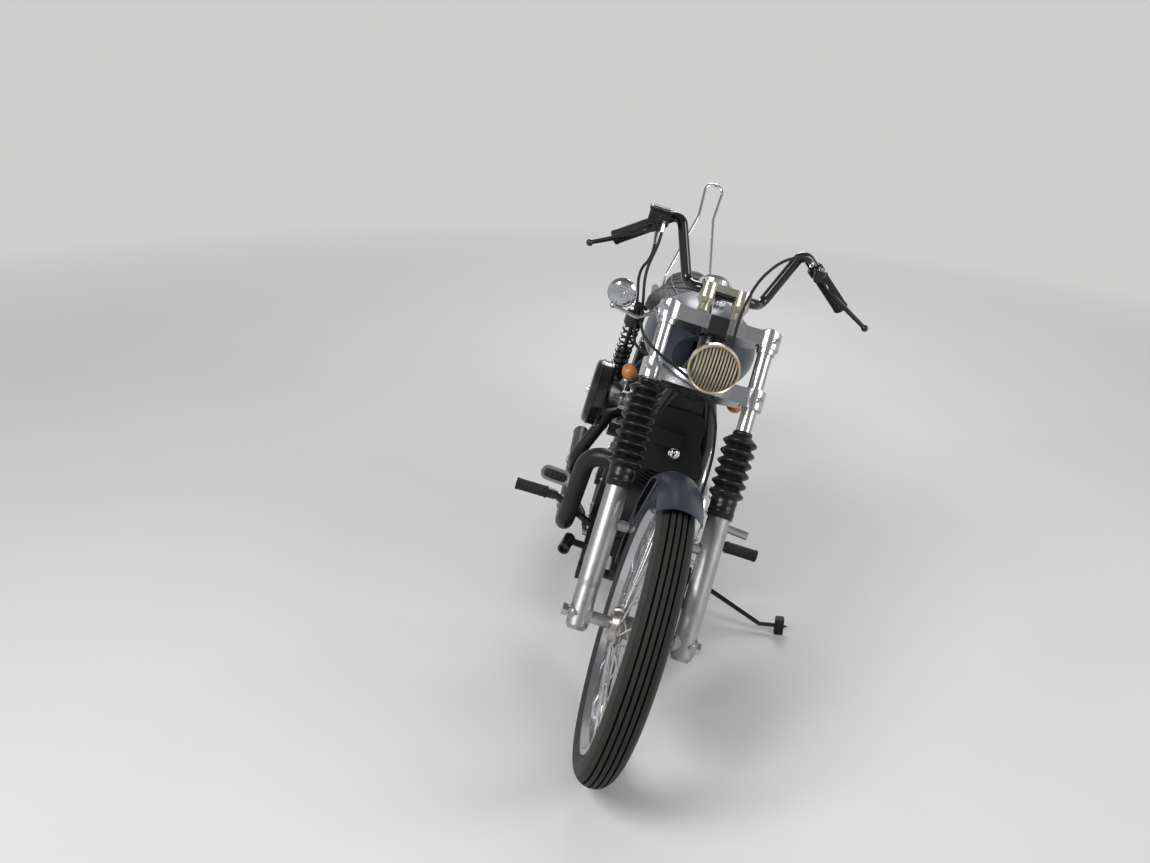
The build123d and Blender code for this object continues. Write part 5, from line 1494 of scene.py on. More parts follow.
    def mirror_head(self) -> None:
        """Builds the round mirror with its ringed back, glass and bent stem."""
        head, facing = Vector(self.mirror_at), Vector(self.mirror_facing).normalized()
        root, elbow, knee = LAYOUT.fork(-146, 0, 712), Vector(self.mirror_elbow), Vector(self.mirror_knee)
        shape = Shape(Finishes.RIM_CHROME)
        rise = [root.lerp(elbow, share) for share in (0, 0.6, 0.88)]
        turn = [elbow.lerp(knee, share) for share in (0.1, 0.4, 1)]
        shape.tube(smooth_line(rise + turn, 6), 4.2, 16)
        shape.lathe([(5.4, 0), (9.5, 0.6), (9.5, 7), (6, 9), (4.2, 9)], root, elbow - root, 24)
        shape.ball(knee, 7.2, 24)
        shape.rod(knee, head - facing * 12, 4.4, segments=20)
        shape.lathe([
            (0, -14.6), (8, -14.3), (9, -13.0), (15, -12.3), (16, -10.9), (21.6, -9.6), (22.6, -8.2),
            (28, -5.8), (29, -4.4), (33.2, -0.8), (34.3, 1.0), (34.3, 5.4), (33.4, 6.3), (32.3, 6.0),
            (32.0, 5.2),
        ], head, facing, 64)
        shape.use(Finishes.MIRROR).lathe([(32, 5.2), (0, 5.2)], head, facing, 64)
        self.add(shape, "round_mirror", Body.STEERING, "chrome", ["mirror"], 20)

    def cable_fittings(self) -> None:
        """Adds the chromed sleeves and nuts at the ends of the cables and the hose."""
        shape = Shape(Finishes.CHROME)
        runs = (
            ((-199, 545.5, 1099.5), (-192, 500, 1042), 40), ((-191, 488.8, 1132.7), (-188, 470, 1084), 27),
            ((178.9, 523.4, 1131.1), (142, 455, 1160), 24), ((46, 295.6, 861.5), (32, 306, 958), 22),
            ((-68, 333, 846.1), (-92, 340.2, 846.4), 10), ((66, 141.2, 460.8), (74, 175, 521), 20),
        )
        nut = [(3.6, 0), (6.2, 0.4), (6.2, 6.6), (5.4, 7.4), (4.6, 7.4)]
        for start, towards, length in runs:
            way = Vector(towards) - Vector(start)
            sleeve = [(4.6, 7), (4.6, length - 4), (5.0, length - 3.4), (5.0, length - 1), (3.6, length)]
            shape.lathe(nut, start, way, 6)
            shape.lathe(sleeve, start, way, 24)
        self.add(shape, "cable_fittings", Body.STEERING, "chrome")

    def lamp_glass(self) -> None:
        """Builds the dark glass behind the lamp's ribs."""
        shape = Shape(Finishes.REFLECTOR)
        r = self.lamp_r
        front = Vector(self.lamp) + Vector((0, -0.6, 0))
        shape.lathe([(r - 5, 0), (r - 5.2, 0.5), (34, 2.8), (0, 4.6)], front, (0, -1, 0), 56)
        self.add(shape, "lamp_reflector", Body.STEERING, "chrome")

    def build(self) -> None:
        """Builds and dresses the cockpit."""
        self.grips()
        self.levers()
        self.reservoir()
        self.instrument()
        self.mirror_head()
        self.cable_fittings()
        self.lamp_glass()
        self.dress(Finishes.ENAMEL, "handlebar")
        self.dress(Finishes.CREAM_BRASS, "risers")
        self.dress(Finishes.CHROME, "headlight")
        self.dress(Finishes.BRASS, "headlight_grille")
        self.dress(Finishes.PLASTIC, "lamp_switch_box")
        self.dress(Finishes.RUBBER, "clutch_cable", "throttle_cable", "brake_hose")


# Engine and drive


@dataclass
class Engine(Assembly):
    """The V engine's dress: bolts, collars, plug leads, and the trim of its filters and pipes."""

    crank: Place = (0, 700, 330)
    clutch: Place = (0, 960, 350)
    tilt_deg: float = 22.5
    head_low: float = 274.0
    head_h: float = 62.0
    rocker_h: float = 58.0
    cam_out: float = 128.0
    timer: Place = (0, 742, 352)
    primary_x: float = 172.5
    primary_r: float = 98.0
    cam_bolts: tuple[tuple[float, float], ...] = (
        (628, 302), (652, 252), (742, 244), (796, 288), (790, 392), (744, 432), (660, 432), (628, 380),
    )
    filter_at: Place = (-236, 742, 582)
    filter_r: float = 92.0
    oil_filter_at: Place = (-30, 512, 256)
    coil: Place = (46, 786, 706)
    clamps_y: tuple[float, float] = (700, 1010)
    pipe_z: float = 240.0

    def cylinder(self, tilt: int, point: Point) -> Vector:
        """A point of one cylinder's own frame.

        Args:
            tilt: -1 for the front cylinder and 1 for the rear.
            point: Across, along the machine and up the bore.

        Returns:
            The point in the upright machine's frame.
        """
        turn = Matrix.Rotation(-radians(tilt * self.tilt_deg), 3, "X")
        return Vector(self.crank) + turn @ Vector(point)

    def bolts(self) -> None:
        """Adds the bolts of the primary case, cam cover and rocker covers."""
        shape = Shape(Finishes.BOLT)
        _, along, rise = Vector(self.clutch) - Vector(self.crank)
        lean = atan2(rise, along)
        for centre, start in ((self.crank, pi / 2), (self.clutch, -pi / 2)):
            for i in range(7):
                at = round_x(centre, self.primary_x, self.primary_r, start + pi * i / 7 + lean)
                shape.bolt(at, (1, 0, 0), 9, 5)
        for y, z in self.cam_bolts:
            shape.bolt((-self.cam_out, y, z), (-1, 0, 0), 8, 5)
        for centre, x, radius, count, phase, across, height in (
            (self.clutch, 190, 66, 5, 0.25, 8, 4), (self.crank, 182, 43, 4, 0.5, 8, 4),
            (self.timer, -self.cam_out - 12, 32, 4, 0.5, 7, 3.5),
        ):
            for i in range(count):
                at = round_x(centre, x, radius, tau * (i + phase) / count)
                shape.bolt(at, (x, 0, 0), across, height, domed=True)
        top = self.head_low + self.head_h + self.rocker_h - 18
        for tilt in (-1, 1):
            up = self.cylinder(tilt, (0, 0, 1)) - Vector(self.crank)
            for x, y, across, height, domed in (
                (-76, 56, 11, 8, True), (60, 56, 11, 8, True), (-44, 57, 9, 6, False), (28, 57, 9, 6, False),
            ):
                for side in (-1, 1):
                    at = self.cylinder(tilt, (x, side * y, top))
                    shape.bolt(at, up, across, height, domed)
        self.add(shape, "engine_bolts", Body.FRAME, "chrome")

    def pushrod_collars(self) -> None:
        """Adds the chromed collars and clips of the pushrod tubes."""
        shape = Shape(Finishes.CHROME)
        sleeve = [
            (10.1, 0), (12.5, 1), (12.5, 6), (11.2, 7), (11.2, 40), (12.8, 41), (12.8, 46), (10.1, 47),
        ]
        for tilt in (-1, 1):
            for y in (-17, 17):
                base = self.cylinder(tilt, (-84, y, 150))
                up = self.cylinder(tilt, (-84, y, 151)) - base
                shape.lathe(sleeve, base, up, 28)
                shape.lathe([(10.1, 0), (12.2, 1), (12.2, 7), (10.1, 8)], base + up * 108, up, 28)
        self.add(shape, "pushrod_collars", Body.FRAME, "chrome")

    def plugs(self) -> None:
        """Adds the spark plugs' caps and their leads to the coil."""
        shape = Shape(Finishes.RUBBER)
        coil = Vector(self.coil)
        for tilt in (-1, 1):
            seat = self.cylinder(tilt, (64, tilt * 28, self.head_low + 26))
            cap = self.cylinder(tilt, (94, tilt * 34, self.head_low + 34))
            bend = Vector((104, seat.y + tilt * 6, seat.z + 54))
            shape.rod(seat, cap, 9, 8, 20, chamfer=1)
            shape.tube(smooth_line([cap, bend, coil + Vector((34, tilt * 34, 10)), coil], 8), 3.6, 12)
        self.add(shape, "plug_leads", Body.FRAME, "black_rubber")

    def filter_can(self) -> None:
        """Adds the air cleaner's two rims and its cover bolt."""
        shape = Shape(Finishes.ENAMEL)
        r = self.filter_r
        for low in (15, 41):
            rim = [(r - 0.4, low), (r + 2.0, low + 1.5), (r + 2.0, low + 5), (r - 0.4, low + 6.5)]
            shape.ring(rim, self.filter_at, (1, 0, 0), 72)
        shape.use(Finishes.CHROME).bolt(self.filter_at, (-1, 0, 0), 18, 8, domed=True)
        self.add(shape, "air_cleaner_trim", Body.FRAME, "chrome")

    def oil_filter(self) -> None:
        """Adds the oil filter's gripping flutes."""
        shape = Shape(Finishes.ENAMEL)
        axis = Vector((0, -128, -8)).normalized()
        turn = basis(axis)
        for i in range(16):
            angle = tau * i / 16
            offset = turn @ Vector((37.6 * cos(angle), 37.6 * sin(angle), 0))
            low = Vector(self.oil_filter_at) + offset - axis * 22
            shape.rod(low, low + axis * 20, 2.6, 2.0, 8)
        self.add(shape, "oil_filter_flutes", Body.FRAME, "black_enamel")

    def pipe_clamps(self) -> None:
        """Adds the clamps and the end ring of the exhaust pipes."""
        shape = Shape(Finishes.WORN_CHROME)
        band = [(25.2, -8), (27.4, -7), (27.4, 7), (25.2, 8)]
        end = [(22.6, -6), (25.3, -6), (26.2, -3), (26.2, 1), (25, 2), (22.6, 2)]
        for y in self.clamps_y:
            x = -197 - (y - 566) * 0.0178
            shape.ring(band, (x, y, self.pipe_z), (0, 1, 0), 40)
            shape.bolt((x, y, self.pipe_z - 27.5), (0, 0, -1), 9, 6)
        shape.use(Finishes.EXHAUST).ring(end, (-206, 1238, self.pipe_z), (0, 1, 0), 48)
        self.add(shape, "pipe_clamps", Body.FRAME, "chrome")

    def build(self) -> None:
        """Builds and dresses the engine."""
        self.bolts()
        self.pushrod_collars()
        self.plugs()
        self.filter_can()
        self.oil_filter()
        self.pipe_clamps()
        self.dress(Finishes.ENGINE, "engine_cases", "cylinders", "cylinder_heads")
        self.dress(Finishes.CHROME, "pushrod_tubes")
        self.dress(Finishes.PRIMARY, "primary_case")
        self.dress(Finishes.POLISHED, "intake")
        self.dress(Finishes.ENAMEL, "air_cleaner")
        self.dress(Finishes.EXHAUST, "exhaust_front", "exhaust_rear")


@dataclass
class FinalDrive(Assembly):
    """The chain from the gearbox to the rear sprocket."""

    pitch: float = 15.875
    front: Place = (80, 985, 345)
    rear: Place = (80, LAYOUT.wheelbase, LAYOUT.rear_hub_z)
    teeth: tuple[int, int] = (24, 48)

    def pitch_radius(self, teeth: int) -> float:
        """The radius of the circle that a sprocket's pins lie on."""
        return self.pitch / (2 * sin(pi / teeth))

    def loop(self) -> list[Vector]:
        """The chain's pins in order round both sprockets.

        Returns:
            Each pin's place.
        """
        small, large = (self.pitch_radius(n) for n in self.teeth)
        dy, dz = self.rear[1] - self.front[1], self.rear[2] - self.front[2]
        lean = asin((large - small) / hypot(dy, dz))
        base = atan2(dz, dy)
        up, down = base + pi / 2 + lean, base - pi / 2 - lean
        line = [round_x(self.front, 0, small, up)]
        line += [round_x(self.rear, 0, large, up + (down - up) * i / 60) for i in range(61)]
        line += [round_x(self.front, 0, small, down + (up - tau - down) * i / 40) for i in range(40)]
        line.append(line[0])
        lengths = [(b - a).length for a, b in zip(line, line[1:])]
        total = sum(lengths)
        count = 2 * round(total / self.pitch / 2)
        out, done, k = [], 0.0, 0
        for i in range(count):
            want = total * i / count
            while done + lengths[k] < want:
                done += lengths[k]
                k += 1
            out.append(line[k].lerp(line[k + 1], (want - done) / lengths[k]))
        return out

    def build(self) -> None:
        """Builds the chain's links, whose pins leave room for the rear teeth, and dresses the sprockets."""
        shape = Shape(Finishes.CHAIN)
        pins = self.loop()
        reach = self.pitch_radius(self.teeth[1]) + 9
        for i, (pin, after) in enumerate(zip(pins, pins[1:] + pins[:1])):
            along = (after - pin).normalized()
            middle = (pin + after) * 0.5
            turn = Matrix((
                (1, 0, 0, 0), (0, along.y, -along.z, 0), (0, along.z, along.y, 0), (0, 0, 0, 1),
            ))
            out = 6.9 if i % 2 else 5.3
            for side in (-1, 1):
                shape.box(middle + Vector((side * out, 0, 0)), (1.5, self.pitch + 9.5, 11.5), turn, 0.7, 1)
            on_teeth = (pin - Vector(self.rear)).length < reach
            for low, high in ((-8.2, -4.6), (4.6, 8.2)) if on_teeth else ((-8.2, 8.2),):
                shape.rod(pin + Vector((low, 0, 0)), pin + Vector((high, 0, 0)), 2.6, segments=8)
        self.add(shape, "chain_links", Body.FRAME, "chain_steel", ["drive_chain"], 50)
        sprocket = Shape(Finishes.CHAIN)
        rim = [(56, -3.5), (60.5, -3.5), (60.5, 3.5), (30, 3.5), (0, 3.5)]
        sprocket.lathe(rim, self.front, (1, 0, 0), 48, cap=True)
        self.add(sprocket, "gearbox_sprocket", Body.FRAME, "chain_steel")
        self.dress(Finishes.CHAIN, "rear_sprocket")


# Chassis and bodywork


@dataclass
class Chassis(Assembly):
    """The frame, swingarm, shocks, stand and controls."""

    shock_top: Place = (146, 1436, 668)
    shock_foot: Place = (146, 1540, 334)
    coils: float = 9.5
    peg_in: Place = (262, 633.6, 292)
    peg_out: Place = (353, 632, 292)
    pad_at: Place = (-254, 640, 346)
    pad_facing: Place = (0, -0.86, 0.5)
    pad_along: Place = (1, 0, -0.06)
    plate_bolt: Place = (6, 403, 612)
    peg_collar: Place = (252, 634, 292)
    pivot_nut: Place = (132, 1126, 335)
    stand_tip: Place = (495.5, 568.5, 139.3)
    stand_bend: Place = (420, 576, 120.8)

    def shocks(self) -> None:
        """Builds the shock absorbers with their coil springs."""
        shape = Shape(Finishes.ENAMEL)
        across = Vector((1, 0, 0))
        for side in (-1, 1):
            foot, top = mirrored(self.shock_foot, side), mirrored(self.shock_top, side)
            axis = (top - foot).normalized()
            length = (top - foot).length
            turn = basis(axis)
            shape.use(Finishes.ENAMEL)
            shape.lathe([
                (0, 4), (15, 5), (15, 40), (21, 41), (21, length * 0.5), (8, length * 0.5 + 2),
                (8, length - 20),
            ], foot, axis, 32)
            shape.lathe([(17, 28), (28, 30), (29.5, 33), (29.5, 38), (20, 39)], foot, axis, 40)
            shape.lathe([
                (9, length - 76), (31, length - 76), (33, length - 73), (33, length - 32), (29, length - 26),
                (12, length - 20), (0, length - 19),
            ], foot, axis, 40)
            helix = []
            steps = int(self.coils * 20)
            for i in range(steps + 1):
                angle = tau * i / 20
                rise = 40.0 + (length - 118.0) * i / steps
                helix.append(foot + turn @ Vector((26 * cos(angle), 26 * sin(angle), rise)))
            shape.tube(helix, 4.2, 10)
            for eye in (foot, top):
                shape.use(Finishes.ENAMEL)
                shape.rod(eye - across * 14, eye + across * 14, 16.5, segments=28, chamfer=1.5)
                shape.use(Finishes.RUBBER).rod(eye - across * 15, eye + across * 15, 11, segments=20)
                shape.use(Finishes.CHROME).bolt(eye + across * side * 15, (side, 0, 0), 17, 10, domed=True)
            shape.use(Finishes.ENAMEL)
            for start, end, radius in (
                (foot, (side * 130, foot.y, foot.z), 9), (top, (side * 114, top.y, top.z), 9),
                (top - axis * 24, top, 11), (foot, foot + axis * 30, 12),
            ):
                shape.rod(start, end, radius, segments=20)
        self.add(shape, "coil_shocks", Body.FRAME, "chrome", ["shocks"])

    def peg_rubbers(self) -> None:
        """Adds the ribbed rubber sleeves of the foot pegs."""
        shape = Shape(Finishes.RUBBER)
        for side in (-1, 1):
            start, end = mirrored(self.peg_in, side), mirrored(self.peg_out, side)
            length = (end - start).length
            profile = [(14.8, 0), (17.4, 0.6), (17.6, 6), (16.2, 7)]
            for i in range(9):
                base = 9 + (length - 20) * i / 9
                profile += [(15.6, base), (16.6, base + 2), (16.6, base + 5.5), (15.6, base + 7)]
            profile += [(17.2, length - 7), (17.2, length - 1.5), (15.5, length), (0, length + 0.6)]
            shape.lathe(profile, start, end - start, 32)
        self.add(shape, "peg_rubbers", Body.FRAME, "black_rubber", (), 40)

    def pedal_pad(self) -> None:
        """Adds the brake pedal's ribbed rubber pad inside its rim."""
        turn = basis(Vector(self.pad_facing), Vector(self.pad_along))
        place = Matrix.Translation(Vector(self.pad_at)) @ turn
        outline = []
        for centre, start in ((21.0, -90), (-21.0, 90)):
            for i in range(13):
                angle = radians(start + 15 * i)
                outline.append((centre + 12.5 * cos(angle), 12.5 * sin(angle)))
        shape = Shape(Finishes.RUBBER)
        shape.plate(outline, 6.2, 9.6, place, 1.2, 2)
        for x in (-24, -12, 0, 12, 24):
            shape.box(place @ Vector((x, 0, 10.4)), (5, 19 - 0.2 * abs(x), 2.6), turn, 0.9, 2)
        self.add(shape, "pedal_pad_rubber", Body.FRAME, "black_rubber")

    def small_chrome(self) -> None:
        """Adds the front plate's domed bolt, the pegs' collars and the swingarm's pivot nuts."""
        shape = Shape(Finishes.CHROME)
        dome = [(14.2, -0.2), (14.2, 1.4), (11.8, 2.2), (10.9, 4.6), (8.2, 7.7), (4.4, 9.3), (0, 9.8)]
        collar = [(13.4, 0), (14.6, 1), (14.6, 5), (13.4, 6)]
        shape.lathe(dome, self.plate_bolt, (0, -1, 0), 36)
        for side in (-1, 1):
            shape.lathe(collar, mirrored(self.peg_collar, side), (side, 0, 0), 32)
            shape.bolt(mirrored(self.pivot_nut, side), (side, 0, 0), 26, 9)
        self.add(shape, "frame_bright_parts", Body.FRAME, "chrome")

    def stand_pin(self) -> None:
        """Adds the bright end of the pin that carries the stand's rubber block."""
        shape = Shape(Finishes.CHROME)
        way = Vector(self.stand_tip) - Vector(self.stand_bend)
        pin = [(5.0, -9), (5.2, -8.4), (5.2, -2.4), (4.6, 0.2), (0, 0.8)]
        shape.lathe(pin, self.stand_tip, way, 24)
        self.add(shape, "stand_pin_end", Body.SIDE_STAND, "chrome")

    def build(self) -> None:
        """Builds and dresses the chassis."""
        self.shocks()
        self.peg_rubbers()
        self.pedal_pad()
        self.small_chrome()
        self.stand_pin()
        self.dress(Finishes.FRAME, "frame_backbone", "frame_cradle", "frame_rails", "swingarm")
        self.dress(Finishes.WORN_CHROME, "rear_axle", "foot_levers")
        self.dress(Finishes.ENAMEL, "forward_controls", "oil_tank", "side_stand")
        self.dress(Finishes.PLASTIC, "front_unit")
        self.dress(Finishes.RUBBER, "stand_bumper")


@dataclass
class Bodywork(Assembly):
    """The lamps, the filler cap, and the finishes of the tank, rear fender and backrest rod."""

    lamp_at: Place = (147, 650, 696)
    lamp_root: Place = (98, 660, 772)
    lamp_way: Place = (0, -1, -0.05)
    lamp_r: float = 22.0
    tail_r: float = 356.0
    tail_deg: float = 30.0
    cap_at: Place = (0, 640, 944)

    def turn_lamps(self) -> None:
        """Builds the amber side lamps with their fluted lenses."""
        shape = Shape(Finishes.ENAMEL)
        shell = [(0, 0), (10, 0.5), (19, 5), (22, 12), (22.4, 26), (20.5, 27)]
        lens = []
        for step in range(10):
            angle = radians(9.6 * step)
            lens.append((self.lamp_r * cos(angle), 24.5 + 21 * sin(angle), 0.9 * cos(angle)))
        for side in (-1, 1):
            centre = mirrored(self.lamp_at, side)
            back = centre + Vector((0, 22, 2))
            place = Matrix.Translation(back) @ basis(Vector(self.lamp_way), Vector((1, 0, 0)))
            shape.use(Finishes.ENAMEL).lathe(shell, back, self.lamp_way, 40)
            shape.use(Finishes.AMBER).fluted(lens, place, 18)
            shape.lathe([(1.4, 45.44), (0, 45.5)], back, self.lamp_way, 24)
            stalk = mirrored(self.lamp_root, side)
            shape.use(Finishes.ENAMEL).rod(centre + Vector((0, 10, 0)), stalk, 6, segments=18)
        self.add(shape, "amber_lamps", Body.FRAME, "amber_lens", ["turn_signals"])

    def rear_lamp(self) -> None:
        """Builds the tail lamp with its bezel and ringed lens."""
        root = round_x(LAYOUT.rear_hub, 0, self.tail_r, radians(self.tail_deg))
        way = Vector((0, 26, 7))
        start = root + way
        shape = Shape(Finishes.ENAMEL)
        shape.rod(root, root + Vector((0, 30, 8)), 11, segments=24)
        shape.use(Finishes.CHROME).lathe([
            (0, 0), (18, 0.2), (30, 3), (34.4, 8), (35, 13), (35, 23), (34.4, 25.6), (33, 26.6), (32.4, 26.2),
        ], start, way, 56)
        lens = [(32.4, 26.0), (32.2, 28.4), (30.6, 32.0), (28.4, 34.6)]
        for i in range(9):
            r = 27.0 - 3 * i
            lens += [(r, 36.2 + 0.28 * i), (r - 1.4, 37.0 + 0.26 * i), (max(r - 2.6, 0.8), 36.6 + 0.28 * i)]
        shape.use(Finishes.RED).lathe([*lens, (0, 38.9)], start, way, 56)
        self.add(shape, "round_tail_lamp", Body.FRAME, "red_lens", ["tail_lamp"], 40)

    def filler_cap(self) -> None:
        """Builds the filler cap with its fluted side."""
        shape = Shape(Finishes.CHROME)
        side = (
            (24.5, 0.4, 0.0), (27.0, 1.0, 0.0), (29.2, 2.4, 0.0), (29.9, 4.2, 1.0), (30.0, 12.6, 1.0),
            (29.0, 14.6, 0.5), (26.6, 16.8, 0.0), (22.0, 18.8, 0.0), (13.0, 20.4, 0.0), (3.0, 20.9, 0.0),
        )
        shape.fluted(side, Matrix.Translation(Vector(self.cap_at)), 24)
        shape.lathe([(3.2, 20.8), (0, 20.95)], self.cap_at, (0, 0, 1), 24)
        self.add(shape, "fluted_filler_cap", Body.FRAME, "chrome", ["fuel_cap"], 50)

    def fender_edge(self) -> None:
        """Adds the rolled wire edge of the rear fender."""
        edge = RolledEdge(
            LAYOUT.rear_hub, x=74.4, radius=317.6, start_deg=141.6, sweep_deg=129.2, steps=60, wire=2.3)
        self.add(edge.shape(), "rear_fender_edge", Body.FRAME, "body_paint", (), 60)

    def build(self) -> None:
        """Builds and dresses the bodywork."""
        self.turn_lamps()
        self.rear_lamp()
        self.filler_cap()
        self.fender_edge()
        self.dress(Finishes.PAINT, "fuel_tank", "rear_fender")
        self.dress(Finishes.CHROME, "sissy_bar")


@dataclass
class Seat(Assembly):
    """The padded seat, blown up as cloth from a slimmer copy of its CAD solid."""

    inset: float = 5.0
    voxel: float = 0.006
    reach: float = 6.0
    frames: int = 20
    channels: tuple[float, ...] = (1236.0, 1276.0, 1316.0, 1356.0, 1396.0)
    piping_rise: float = 0.42

    def applied(self, piece: Piece, kind: str, **values: object) -> None:
        """Adds a modifier to a piece and applies it.

        Args:
            piece: The piece.
            kind: The modifier's type.
            values: Its settings.
        """
        modifier = piece.modifiers.new(kind, kind)
        for name, value in values.items():
            setattr(modifier, name, value)
        graph = bpy.context.evaluated_depsgraph_get()
        mesh = bpy.data.meshes.new_from_object(piece.evaluated_get(graph))
        piece.modifiers.remove(modifier)
        piece.data = mesh

    def swell(self, piece: Piece, amount: Callable[[Vector, Vector], float]) -> None:
        """Moves each vertex along its normal.

        Args:
            piece: The piece.
            amount: Gives the millimetres for a place and normal of the upright machine's frame.
        """
        self.put_back(piece, [
            vert.co + vert.normal * (amount(place, normal) / 1000)
            for vert, (place, normal) in zip(piece.data.vertices, self.upright(piece))
        ])

    def put_back(self, piece: Piece, places: Iterable[Vector]) -> None:
        """Gives a piece's vertices new places.

        Args:
            piece: The piece.
            places: Each vertex's place.
        """
        piece.data.vertices.foreach_set("co", [c for place in places for c in place])
        piece.data.update()

    def upright(self, piece: Piece) -> list[tuple[Vector, Vector]]:
        """Each vertex's place and normal in the upright machine's frame.

        Args:
            piece: The piece.

        Returns:
            (place, normal) of each.
        """
        back = self.stance.matrix.inverted()
        turn = back.to_3x3()
        return [(back @ v.co, (turn @ v.normal).normalized()) for v in piece.data.vertices]

    def blow_up(self, piece: Piece) -> None:
        """Fills the cover with a little air, its underside held, and keeps each point near its start.

        Args:
            piece: The slim cushion.
        """
        held = piece.vertex_groups.new(name="held")
        held.add([i for i, (_, normal) in enumerate(self.upright(piece)) if normal.z < -0.5], 1.0, "REPLACE")
        start = [v.co.copy() for v in piece.data.vertices]
        cloth = piece.modifiers.new("cover", "CLOTH")
        cloth.settings.quality = 5
        cloth.settings.mass = 0.3
        cloth.settings.vertex_group_mass = held.name
        cloth.settings.use_pressure = True
        cloth.settings.uniform_pressure_force = 4.0
        cloth.settings.effector_weights.gravity = 0.0
        cloth.point_cache.frame_start, cloth.point_cache.frame_end = 1, self.frames
        scene = bpy.context.scene
        for frame in range(1, self.frames + 1):
            scene.frame_set(frame)
        shown = piece.evaluated_get(bpy.context.evaluated_depsgraph_get())
        limit = self.reach / 1000
        moved = []
        for old, new in zip(start, shown.data.vertices):
            move = new.co - old
            moved.append(old + move * min(1.0, limit / max(move.length, 1e-9)))
        piece.modifiers.remove(cloth)
        self.put_back(piece, moved)
        scene.frame_set(1)

    def channel(self, place: Vector, normal: Vector) -> float:
        """How far the sewn cross channels move a point of the top.

        Args:
            place: The point.
            normal: The surface's normal there.

        Returns:
            The millimetres along the normal.
        """
        share = min(1.0, max(0.0, (normal.z - 0.15) / 0.4))
        if not share or place.y < self.channels[0] - 30:
            return 0.0
        line = min(abs(place.y + 0.0009 * place.x ** 2 - y) for y in self.channels)
        return share * (0.7 - 0.7 * exp(-(line / 9) ** 2) - 2.4 * exp(-(line / 3.2) ** 2))

    def piping(self, piece: Piece) -> None:
        """Adds the piping round the seat's upper edge.

        Args:
            piece: The finished cushion, whose surface it follows.
        """
        mesh = bmesh.new()
        mesh.from_mesh(piece.data)
        tree = BVHTree.FromBMesh(mesh)
        mesh.free()
        rise = self.piping_rise
        spine = [(0, y, 790 - 0.03 * (y - 1000)) for y in range(1000, 1400, 10)]
        turns = [pi * i / 18 for i in range(19)]
        rays = [(at, (1.0, 0, rise)) for at in spine]
        rays += [((0, 1400, 778), (cos(a), 1.1 * sin(a), rise)) for a in turns]
        rays += [(at, (-1.0, 0, rise)) for at in reversed(spine)]
        back = self.stance.matrix.inverted()
        line = []
        for origin, way in rays:
            start = self.stance.row(origin)
            hit = tree.ray_cast(start, (self.stance.row(Vector(origin) + Vector(way)) - start).normalized())
            if hit[0] is not None:
                line.append(back @ hit[0])
        shape = Shape(Finishes.PIPING)
        shape.tube(smooth_line(line[::2], 4), 2.4, 12)
        self.add(shape, "seat_piping", Body.FRAME, "seat_cover", (), 60)

    def build(self) -> None:
        """Builds the cushion and its piping."""
        node = self.nodes["seat"]
        mesh = node.data.copy()
        mesh.transform(node.matrix_world)
        piece = new_object("seat_cushion", mesh)
        self.applied(piece, "REMESH", mode="VOXEL", voxel_size=self.voxel)
        self.applied(piece, "SMOOTH", factor=0.5, iterations=4)
        self.swell(piece, lambda place, normal: -self.inset)
        self.blow_up(piece)
        self.applied(piece, "SUBSURF", levels=1, render_levels=1)
        self.swell(piece, self.channel)
        piece.data.materials.clear()
        piece.data.materials.append(Finishes.LEATHER.material())
        piece.data.shade_smooth()
        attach(piece, Body.FRAME.value)
        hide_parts("seat")
        LOG.info("%s: %d faces on %s", piece.name, len(piece.data.polygons), Body.FRAME.value)
        self.piping(piece)


# Stage


